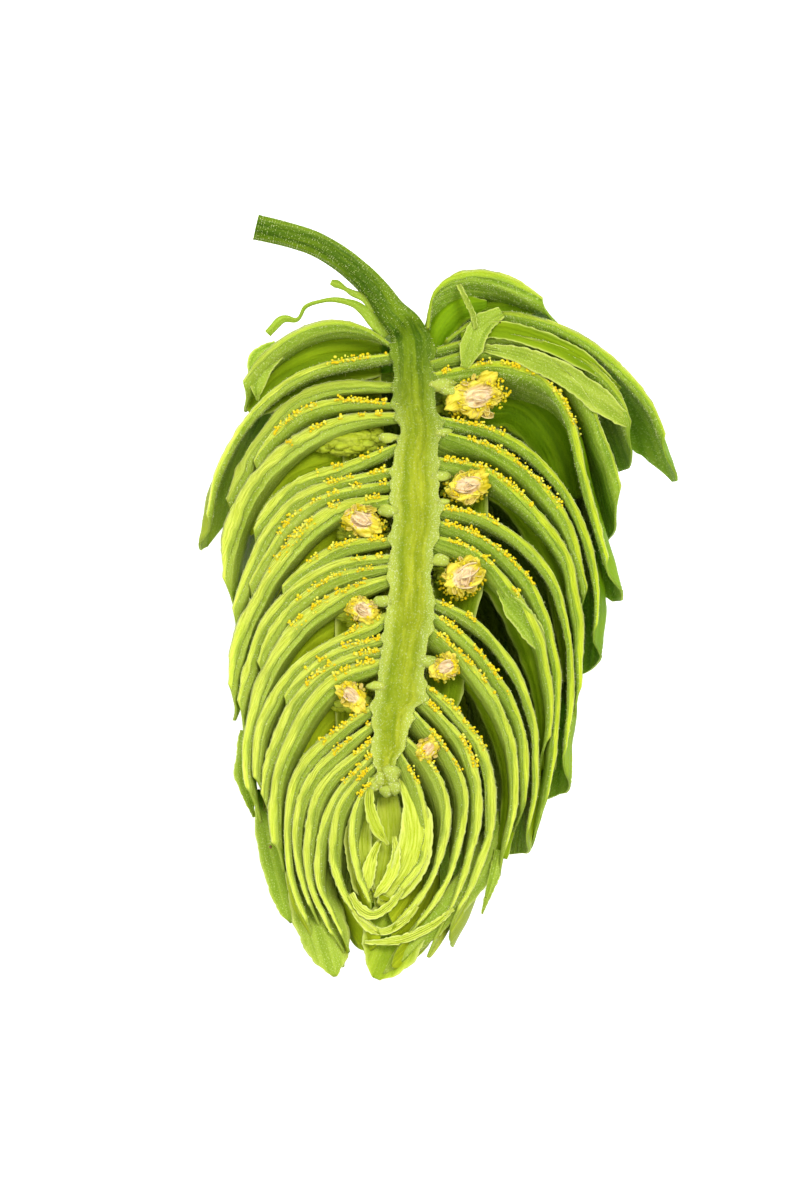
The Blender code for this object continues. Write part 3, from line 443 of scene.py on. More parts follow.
class Look:
    """A material whose nodes are added one by one. Colours are linear."""

    def __init__(self, name, roughness=0.55, subsurface=0.0, specular=0.12):
        self.material = bpy.data.materials.new(name)
        self.material.use_nodes = True
        self.tree = self.material.node_tree
        self.shader = self.tree.nodes["Principled BSDF"]
        self.shader.inputs["Roughness"].default_value = roughness
        self.shader.inputs["Specular IOR Level"].default_value = specular
        self.shader.inputs["Specular Tint"].default_value = (0.9, 1.0, 0.4, 1.0)
        if subsurface:
            self.shader.inputs["Subsurface Weight"].default_value = subsurface
            self.shader.inputs["Subsurface Radius"].default_value = (0.7, 1.0, 0.25)
            self.shader.inputs["Subsurface Scale"].default_value = 0.5 * MM

    def link(self, socket, value):
        if isinstance(value, bpy.types.NodeSocket):
            self.tree.links.new(value, socket)
        elif isinstance(value, tuple) and len(value) == 3 and socket.type == "RGBA":
            socket.default_value = (*value, 1.0)
        else:
            socket.default_value = value

    def attribute(self, name, vector=False):
        node = self.tree.nodes.new("ShaderNodeAttribute")
        node.attribute_name = name
        return node.outputs["Vector" if vector else "Fac"]

    def maths(self, operation, first, second=0.0, third=0.0, clamp=False):
        node = self.tree.nodes.new("ShaderNodeMath")
        node.operation, node.use_clamp = operation, clamp
        for socket, value in zip(node.inputs, (first, second, third)):
            self.link(socket, value)
        return node.outputs[0]

    def times(self, first, second):
        return self.maths("MULTIPLY", first, second)

    def streaks(self, grain, *scale_and_detail):
        """Noise stretched along the grain: the three scales, the detail and its roughness."""
        *scale, detail, roughness = scale_and_detail
        return self.noise(self.scaled(grain, tuple(scale)), 1.0, detail, roughness)

    def ramp(self, value, low, high, to_low=0.0, to_high=1.0):
        """The value's stretch from low to high, carried smoothly to another."""
        node = self.tree.nodes.new("ShaderNodeMapRange")
        node.interpolation_type = "SMOOTHSTEP"
        for socket, given in zip(node.inputs, (value, low, high, to_low, to_high)):
            self.link(socket, given)
        return node.outputs[0]

    def mix(self, share, first, second, blend="MIX"):
        node = self.tree.nodes.new("ShaderNodeMix")
        node.data_type, node.blend_type = "RGBA", blend
        self.link(node.inputs[0], share)
        self.link(node.inputs[6], first)
        self.link(node.inputs[7], second)
        return node.outputs[2]

    def scaled(self, vector, scale):
        node = self.tree.nodes.new("ShaderNodeMapping")
        self.link(node.inputs["Vector"], vector)
        node.inputs["Scale"].default_value = scale
        return node.outputs[0]

    def noise(self, vector, scale, detail=2.0, roughness=0.5, distortion=0.0):
        node = self.tree.nodes.new("ShaderNodeTexNoise")
        self.link(node.inputs["Vector"], vector)
        for name, value in (("Scale", scale), ("Detail", detail), ("Roughness", roughness)):
            node.inputs[name].default_value = value
        node.inputs["Distortion"].default_value = distortion
        return node.outputs["Fac"]

    def bump(self, height, distance, strength=1.0, after=None):
        node = self.tree.nodes.new("ShaderNodeBump")
        node.inputs["Distance"].default_value = distance
        node.inputs["Strength"].default_value = strength
        self.link(node.inputs["Height"], height)
        if after is not None:
            self.link(node.inputs["Normal"], after)
        return node.outputs[0]

    def finish(self, colour, roughness=None, normal=None):
        self.link(self.shader.inputs["Base Color"], colour)
        if roughness is not None:
            self.link(self.shader.inputs["Roughness"], roughness)
        if normal is not None:
            self.link(self.shader.inputs["Normal"], normal)
        return self.material


def bract_look(name, outer, outer_pale, inner, inner_pale, band, band_pale):
    """Leaf tissue: long veins, fuzz outside, smooth inside, and the pale wet band that the knife left, with a
    painted highlight along the band's rims and the leaves' margins.
    """
    look = Look(name, subsurface=0.2)
    grain = look.attribute("grain", vector=True)
    pale, cut, inside = (look.attribute(key) for key in ("pale", "cut", "inside"))
    fibres = look.streaks(grain, 0.5, 5.0, 1.0, 3.0, 0.6)
    veins = look.ramp(look.streaks(grain, 0.16, 2.2, 1.0, 1.0, 0.5), 0.42, 0.62)
    blotches = look.noise(grain, 0.7, 3.0)
    speckle = look.ramp(look.noise(grain, 11.0, 3.0, 0.75), 0.52, 0.70)
    shade = look.maths("ADD", look.times(veins, 0.45), look.times(fibres, 0.75))
    dark, light = (look.mix(pale, outer[k], outer_pale[k]) for k in (0, 1))
    outside = look.mix(shade, dark, light)
    outside = look.mix(look.times(speckle, 0.65), outside, (0.62, 0.70, 0.25))
    dark, light = (look.mix(pale, inner[k], inner_pale[k]) for k in (0, 1))
    within = look.mix(shade, dark, light)
    face = look.mix(inside, outside, within)
    dulled = look.mix(1.0, face, (0.6, 0.7, 0.3), "MULTIPLY")
    face = look.mix(look.ramp(blotches, 0.35, 0.75, 0.0, 0.35), face, dulled)
    streaks = look.streaks(grain, 0.9, 9.0, 1.0, 3.0, 0.65)
    dark, light = (look.mix(pale, band[k], band_pale[k]) for k in (0, 1))
    flesh = look.mix(look.ramp(streaks, 0.3, 0.7), dark, light)
    # The rim mark is a painted highlight: a bright line where the cut edges and leaf margins catch the light
    rim = look.attribute("rim")
    flesh = look.mix(look.times(speckle, 0.3), flesh, (0.80, 0.86, 0.26))
    flesh = look.mix(look.times(rim, 0.6), flesh, (0.82, 0.90, 0.34))
    colour = look.mix(cut, face, flesh)
    relief = look.maths("ADD", look.times(fibres, 0.6), look.times(veins, 0.6))
    normal = look.bump(relief, 0.05 * MM, 0.8)
    normal = look.bump(look.noise(grain, 8.0, 4.0, 0.7), 0.05 * MM, 0.9, normal)
    return look.finish(colour, look.ramp(fibres, 0.2, 0.8, 0.42, 0.62), normal)


def strig_look():
    """Pale pith with whitish grains and darker strands, and dark, ribbed and bristly skin up the stem."""
    look = Look("strig", subsurface=0.2)
    grain = look.attribute("grain", vector=True)
    stem, cut, margin = (look.attribute(key) for key in ("stem", "cut", "margin"))
    strands = look.streaks(grain, 0.22, 2.6, 2.6, 4.0, 0.65)
    core = look.ramp(look.streaks(grain, 0.12, 1.1, 1.1, 2.0, 0.5), 0.4, 0.65)
    grains = look.ramp(look.noise(grain, 10.0, 3.0, 0.7), 0.54, 0.68)
    pith = look.mix(look.ramp(strands, 0.25, 0.75), (0.17, 0.22, 0.003), (0.36, 0.40, 0.022))
    pith = look.mix(look.times(core, 0.45), pith, (0.12, 0.20, 0.002))
    pith = look.mix(look.times(margin, 0.5), pith, (0.44, 0.52, 0.10))
    grained = look.times(grains, look.maths("MULTIPLY_ADD", margin, 0.55, 0.2))
    pith = look.mix(grained, pith, (0.70, 0.74, 0.42))
    skin = look.mix(look.ramp(strands, 0.3, 0.7), (0.030, 0.080, 0.001), (0.13, 0.21, 0.005))
    skin = look.mix(look.times(grains, 0.22), skin, (0.40, 0.50, 0.14))
    side = look.mix(0.55, skin, (0.25, 0.32, 0.02))
    colour = look.mix(stem, look.mix(cut, side, pith), skin)
    normal = look.bump(strands, 0.06 * MM, 0.8)
    normal = look.bump(look.noise(grain, 8.0, 2.0), 0.04 * MM, 0.9, normal)
    return look.finish(colour, look.ramp(strands, 0.2, 0.8, 0.45, 0.62), normal)


def bead_look():
    """Resin beads, lemon to amber, with a wet gloss."""
    look = Look("lupulin", roughness=0.35, subsurface=0.2, specular=0.3)
    tint = look.attribute("tint")
    colour = look.mix(look.ramp(tint, 0.0, 0.5), (0.70, 0.47, 0.003), (0.70, 0.58, 0.010))
    colour = look.mix(look.ramp(tint, 0.6, 1.0), colour, (0.68, 0.70, 0.09))
    return look.finish(colour)


def seed_look():
    """Papery husk: cream and flesh pink, stained yellow by resin at its folds."""
    look = Look("seed husk", roughness=0.5, subsurface=0.25)
    grain, crust = look.attribute("grain", vector=True), look.attribute("crust")
    folds = look.streaks(grain, 1.2, 5.0, 1.0, 3.0, 0.6)
    paper = look.mix(look.ramp(folds, 0.3, 0.7), (0.62, 0.42, 0.17), (0.86, 0.72, 0.42))
    resin = look.mix(look.ramp(folds, 0.3, 0.7), (0.42, 0.33, 0.006), (0.80, 0.68, 0.08))
    colour = look.mix(crust, paper, resin)
    return look.finish(colour, normal=look.bump(folds, 0.05 * MM, 0.8))


def hair_look():
    look = Look("hairs", roughness=0.6, specular=0.05)
    tint = look.attribute("tint")
    return look.finish(look.mix(tint, (0.55, 0.66, 0.16), (0.88, 0.92, 0.50)))


def dirt_look():
    look = Look("soil specks", roughness=0.9)
    tint = look.attribute("tint")
    return look.finish(look.mix(tint, (0.05, 0.025, 0.01), (0.22, 0.12, 0.05)))


LEAF = bract_look(
    "bract",
    outer=((0.11, 0.21, 0.005), (0.29, 0.41, 0.034)),
    outer_pale=((0.19, 0.27, 0.010), (0.38, 0.47, 0.060)),
    inner=((0.070, 0.16, 0.0005), (0.19, 0.32, 0.003)),
    inner_pale=((0.18, 0.24, 0.001), (0.37, 0.44, 0.012)),
    band=((0.29, 0.40, 0.003), (0.60, 0.70, 0.03)),
    band_pale=((0.38, 0.47, 0.008), (0.73, 0.82, 0.13)),
)
STRIG_LOOK = strig_look()
BEAD_LOOK = bead_look()
SEED_LOOK = seed_look()
HAIR_LOOK = hair_look()
DIRT_LOOK = dirt_look()


# ---------------------------------------------------------------- meshes


def add(name, points, faces, look, slot, replaced=(), **attributes):
    """A piece of the visual model, from points in the row frame in mm."""
    mesh = bpy.data.meshes.new(name)
    mesh.from_pydata((np.asarray(points) * MM).tolist(), [], [tuple(map(int, face)) for face in faces])
    mesh.shade_smooth()
    for key, values in attributes.items():
        values = np.asarray(values, np.float32)
        kind, field = ("FLOAT", "value") if values.ndim == 1 else ("FLOAT_VECTOR", "vector")
        mesh.attributes.new(key, kind, "POINT").data.foreach_set(field, values.ravel())
    mesh.materials.append(look)
    piece = bpy.data.objects.new(name, mesh)
    bpy.context.scene.collection.objects.link(piece)
    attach(piece, "root")
    if replaced:
        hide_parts(*replaced)
    return piece


def outward(points, faces):
    """The faces, turned round if they enclose the points inside out."""
    triangles = np.array([(f[0], a, b) for f in faces for a, b in zip(f[1:], f[2:])])
    corners = points[triangles]
    volume = np.einsum("ij,ij->i", corners[:, 0], np.cross(corners[:, 1], corners[:, 2])).sum()
    return [f[::-1] for f in faces] if volume < 0 else faces


def gathered(parts):
    """Several (points, faces, ...) as one: points and faces joined, and every array after them."""
    points, faces, start = [], [], 0
    for part in parts:
        points.append(part[0])
        faces += [[i + start for i in face] for face in part[1]]
        start += len(part[0])
    rest = [np.concatenate([part[k] for part in parts]) for k in range(2, len(parts[0]))]
    return [np.concatenate(points), faces, *rest]


def loop_faces(rows, around):
    """Quads between neighbouring rows of points, each row a loop."""
    at = np.arange(rows * around).reshape(rows, around)
    return [
        (at[i, j], at[i + 1, j], at[i + 1, (j + 1) % around], at[i, (j + 1) % around])
        for i in range(rows - 1)
        for j in range(around)
    ]


def capped(rows, around):
    """The same quads between two end faces."""
    last = (rows - 1) * around + np.arange(around)[::-1]
    return [tuple(range(around)), tuple(last), *loop_faces(rows, around)]


def resting(points, faces):
    """A closed sheet carried to where the cone lies, none of it below the ground, faced outwards."""
    points = laid(points)
    points[:, 2] = np.maximum(points[:, 2], 0.0)
    return points, outward(points, faces)


# ---------------------------------------------------------------- bracts

BAND_SHARES = np.array([0.10, 0.28, 0.5, 0.72, 0.90])  # across the cut band, between its two rims
UNBARED = 0.4  # share of the pale flesh that shows where a bract without glands was hardly cut


class Bract:
    """A shell round the strig. Its place is given by distance along it and by the angle round the strig."""

    def __init__(self, name, side, edge, level, middle, half, length=None, band=THIN, swell=0.0, glands=0.0):
        self.name, self.side, self.middle, self.half = name, side, middle, half
        self.number = sum(map(ord, name)) % 97 + 3 * int(name[-2:])
        self.band, self.swell, self.glands = band, swell, glands
        self.family = family_curve(level)
        self.family_length = length_of(self.family)
        self.edge, self.length = None, length
        self.room = None
        if edge is not None:
            run = length_of(edge)
            shares = np.linspace(WIDEST_AT, 1.0, 200)
            open_share = float(shares[np.abs(half * half_width_share(shares) - middle).argmin()])
            self.length = run / open_share
            self.edge = np.stack([side * (edge[:, 0] - axis_x(edge[:, 1])), edge[:, 1]], axis=1)
            self.edge_length = run

    def on(self, curve, run, s):
        """The point at distance s along a curve, carried on straight beyond both ends."""
        at = np.linspace(0.0, run, len(curve))
        inside = np.clip(s, 0.0, run)
        point = np.stack([np.interp(inside, at, curve[:, k]) for k in (0, 1)], axis=-1)
        onward = curve[-1] - curve[-4]
        back = curve[0] - curve[3]
        point = point + np.clip(s - run, 0.0, None)[..., None] * onward / np.linalg.norm(onward)
        return point + np.clip(-s, 0.0, None)[..., None] * back / np.linalg.norm(back)

    def point(self, s, angle):
        """The middle of the shell in the cone's own frame, at distances along it and angles in degrees."""
        flat = self.on(self.family, self.family_length, s)
        if self.edge is not None:
            share = smooth(angle / BLEND_ANGLE)[..., None]
            flat = self.on(self.edge, self.edge_length, s) * (1 - share) + flat * share
        reach, y = flat[..., 0], flat[..., 1]
        turn = np.radians(angle)
        if self.edge is not None:
            below = reach * np.sin(turn)
            swollen = smooth(s / 3.0) * smooth(below / 1.2) * (1 - smooth((below - 1.5) / 3.5))
            reach = reach + self.swell * swollen
            wobble = spread(s, below * 0.5 + 3.1 * self.number)
            reach = reach + 0.07 * noise(wobble, 1.5, 5) + 0.012 * noise(wobble, 0.3, 6)
        reach = np.maximum(reach, 0.6 * strig_radius(y))
        x = axis_x(y) + self.side * reach * np.cos(turn)
        return warped(leaning(spread(x, y, -reach * np.sin(turn)), self.side))

    def half_angle(self, u):
        """Half of the angle that the shell spans, with its torn margin."""
        torn_at = spread(u * self.length, 6.1 * self.number)
        torn = 0.05 * noise(torn_at, 0.9, 16) + 0.04 * noise(torn_at, 0.3, 17)
        return self.half * half_width_share(u) * (1 + torn)

    def angles(self, u, v):
        half = self.half_angle(u)
        low = self.middle - half
        if self.edge is not None:
            low = np.maximum(low, 0.0)
        return low + (self.middle + half - low) * v

    def band_width(self, s):
        """The width of the cut band, no wider than the room between the neighbouring edges."""
        share = np.clip(s / self.edge_length, 0, 1)
        width = self.band * (0.55 + 0.45 * smooth(share / 0.35)) * (1 - 0.55 * smooth((share - 0.8) / 0.2))
        along_it = spread(s, 7.7 * self.number)
        width = width * (1 + 0.32 * noise(along_it, 1.9, 8) + 0.16 * noise(along_it, 0.22, 9))
        room = np.interp(s, np.linspace(0, self.edge_length, len(self.room)), self.room)
        return np.clip(np.minimum(width, room - BAND_GAP), 0.12, None)

    def shell(self, rows, columns):
        """The closed fine shell: points, faces and the attributes that its material reads."""
        share = np.linspace(0.0, 1.0, columns) ** (1.8 if self.edge is not None else 1.0)
        u, v = np.meshgrid(np.linspace(0, 1, rows), share, indexing="ij")
        s = -ROOT + u * (self.length + ROOT)
        angle = self.angles(s / self.length, v)
        middle = self.point(s, angle)
        normal = unit(np.cross(np.gradient(middle, axis=0), np.gradient(middle, axis=1)) * -self.side)
        ruffle_at = spread(s, angle / 10.0, 2.3 * self.number)
        free = smooth((u - 0.35) / 0.65) * 0.10 + smooth((np.abs(2 * v - 1) - 0.6) / 0.4) * 0.05
        if self.edge is None:
            normal = -normal if normal[rows // 2, columns // 2, 2] > 0 else normal
            thick = np.full_like(s, THIN)
            cut = np.zeros_like(s)
        else:
            below = np.maximum(-middle[..., 2], 0.0)
            lip = np.where(angle < LIP_ANGLE, np.exp(-((below / LIP_DEPTH) ** 2)), 0.0)
            cut = np.where(self.middle - self.half_angle(s / self.length) <= 0, lip, 0.0)
            thick = THIN + (self.band_width(s) - THIN) * cut
            level = unit(normal * (1.0, 1.0, 0.0))
            normal = unit(normal + (level - normal) * cut[..., None])
        middle = middle + normal * (free * (1 - cut) * noise(ruffle_at, 1.7, 11))[..., None]
        margin = smooth((1 - v) / 0.1) if self.edge is not None else smooth((1 - np.abs(2 * v - 1)) / 0.15)
        thick = thick * (MARGIN / THIN + (1 - MARGIN / THIN) * np.maximum(margin, cut))
        offset = 0.5 * thick[..., None] * normal
        outer, inner = middle + offset, middle - offset
        if self.edge is not None:
            outer[..., 2] -= 0.45 * cut * np.maximum(thick - 0.15, 0)
        marks = []
        for inside in (0.0, 1.0):
            grain = spread(s, angle / 57.3 * 8.0 + 40.0 * inside, 3.7 * self.number)
            bared = inside * smooth((cut - AT_CUT) / (1 - AT_CUT))
            marks.append((grain, np.full_like(s, inside), bared, np.zeros_like(s)))
        self.rims, self.at_cut = (outer[:, 0], inner[:, 0]), cut[:, 0] > AT_CUT
        self.outer, self.outward = outer, normal
        self.runs = unit(np.gradient(outer[:, 0], axis=0))
        self.below = np.maximum(-middle[..., 2], 0.0)
        band, band_marks = self.cut_band(outer[:, 0], inner[:, 0], s[:, 0], cut[:, 0])
        points = np.concatenate([outer[:, ::-1], band, inner], axis=1)
        marks = [
            np.concatenate([a[:, ::-1], b, c], axis=1) for a, b, c in zip(marks[0], band_marks, marks[1])
        ]
        # The top of the inner face beside the cut band gets the full painted rim highlight
        marks[3][:, columns + len(BAND_SHARES)] = cut[:, 0] > 0.5
        around = points.shape[1]
        faces = loop_faces(rows, around)
        for row in (0, rows - 1):
            start = row * around
            for j in range(columns - 1):
                o, i = start + columns - 1 - j, start + columns + len(BAND_SHARES) + j
                faces.append((o, o - 1, i + 1, i) if row else (o, i, i + 1, o - 1))
            ring = [start + columns - 1 + k for k in range(len(BAND_SHARES) + 2)]
            faces.append(tuple(ring if row == 0 else ring[::-1]))
        points = points.reshape(-1, 3)
        pale = np.clip(paleness(points) + 0.10 * math.sin(self.number * 1.7), 0, 1)
        grain, inside, cut, rim = (m.reshape(-1, *m.shape[2:]) for m in marks)
        return *resting(points, faces), dict(grain=grain, inside=inside, cut=cut, rim=rim, pale=pale)

    def cut_band(self, outer, inner, s, cut):
        """The points across the band that the knife left, a little hollow and uneven, and their marks."""
        band = outer[:, None] * (1 - BAND_SHARES[:, None]) + inner[:, None] * BAND_SHARES[:, None]
        at = spread(s[:, None], BAND_SHARES + self.number)
        from_middle = np.abs(2 * BAND_SHARES - 1)
        width = np.linalg.norm(outer - inner, axis=-1)[:, None]
        uneven = 0.05 * noise(at * (0.5, 4), 0.5, 14) * width - 0.03 * (1 - from_middle**2)
        band[..., 2] += cut[:, None] * uneven
        grain = spread(at[..., 0], BAND_SHARES * width * 4 + self.number, 1.9)
        bevel = smooth((BAND_SHARES - 0.12 - 0.25 * noise(at * (1, 0), 0.9, 15)) / 0.3)
        bared = cut[:, None] * bevel * (1.0 if self.glands else UNBARED)
        # The last mark, strongest at the band's two edges, is the painted rim highlight
        return band, (grain, np.zeros(at.shape[:2]), bared, from_middle**6 * bared)


def room_along(edge, others):
    """The distance from each point of an edge to the nearest other edge."""
    far = [np.linalg.norm(edge[:, None] - other[None], axis=2).min(axis=1) for other in others]
    return np.min(far, axis=0)


def bracts():
    """Every shell, side by side from the stem down, and then those of the back."""
    made = []
    for side, word in ((LEFT, "left"), (RIGHT, "right")):
        rows = [row for row in CUT_BRACTS if row[0].startswith(word)]
        edges = spaced_edges([along(row[-1]) for row in rows])
        evenly = np.linspace(TOP_LEVEL, BOTTOM_LEVEL, len(rows))
        for k, (row, edge, even) in enumerate(zip(rows, edges, evenly)):
            name, middle, half, band, swell, glands, points = row
            level = EVENNESS * even + (1 - EVENNESS) * points[0][1]
            bract = Bract(name, side, edge, level, middle, half, None, band, swell, glands)
            bract.room = room_along(edge, [edges[n] for n in (k - 1, k + 1) if 0 <= n < len(edges)])
            made.append(bract)
    for name, level, middle, half, length in BACK_BRACTS:
        made.append(Bract(name, LEFT, None, level, middle, half, length))
    return made


PETAL_ROWS, PETAL_COLUMNS = 44, 15
PETAL_THICKNESS = 0.12
PETAL_TEETH = 0.05  # how far the teeth of a leaf's margin reach


def petal(spine, widths, dish, face, pale, number):
    """A leaf laid along a spine of (x, y, height) points: half-widths along it, edges raised by the dish."""
    rows, columns = PETAL_ROWS, PETAL_COLUMNS
    line = along(spine, rows)
    share = np.linspace(0, 1, rows)
    half = np.interp(share, *zip(*widths))
    _, across = path_frame(line)
    w = np.linspace(-1, 1, columns)
    to_margin = np.abs(w)
    at = spread(share[:, None] * length_of(line), w, number)
    reach = half[:, None] * w * (1 + 0.12 * noise(at * (1, 0, 1), 0.8, 51) * to_margin)
    reach = reach + PETAL_TEETH * to_margin**8 * noise(at, 0.14, 52)
    middle = line[:, None] + reach[..., None] * across[:, None]
    middle[..., 2] += dish * (w**2 - 0.4) * (half / half.max())[:, None]
    middle[..., 2] += 0.08 * noise(at, 0.9, 53) + 0.02 * np.cos(w * 14)
    normal = unit(np.cross(np.gradient(middle, axis=0), np.gradient(middle, axis=1)))
    normal *= np.sign(normal[rows // 2, columns // 2, 2])
    body = PETAL_THICKNESS * (1 - 0.6 * to_margin**3) * (1 - 0.5 * share[:, None] ** 3)
    upper, lower = (middle + sign * 0.5 * body[..., None] * normal for sign in (1, -1))
    points = warped(np.concatenate([upper, lower[:, ::-1]], axis=1))
    around = 2 * columns
    faces = loop_faces(rows, around)
    for row in (0, rows - 1):
        start = row * around
        for j in range(columns - 1):
            quad = (start + j, start + j + 1, start + around - 2 - j, start + around - 1 - j)
            faces.append(quad if row == 0 else quad[::-1])
    flat = np.zeros(rows * around)
    # Margins of the upper face: pale flesh, and the painted rim highlight through the rim mark
    rim = np.tile(np.concatenate([to_margin**10, 0 * w]), rows)
    sideways = np.concatenate([reach * 1.2, reach[:, ::-1] * 1.2 + 20], axis=1)
    grain = spread(at[:, :1, 0], sideways, number).reshape(-1, 3)
    flesh = np.maximum(0.6 * rim, max(pale - 1.0, 0.0))
    marks = dict(grain=grain, inside=flat + face, rim=rim, cut=flesh, pale=flat + min(pale, 1.0))
    return *resting(points.reshape(-1, 3), faces), marks


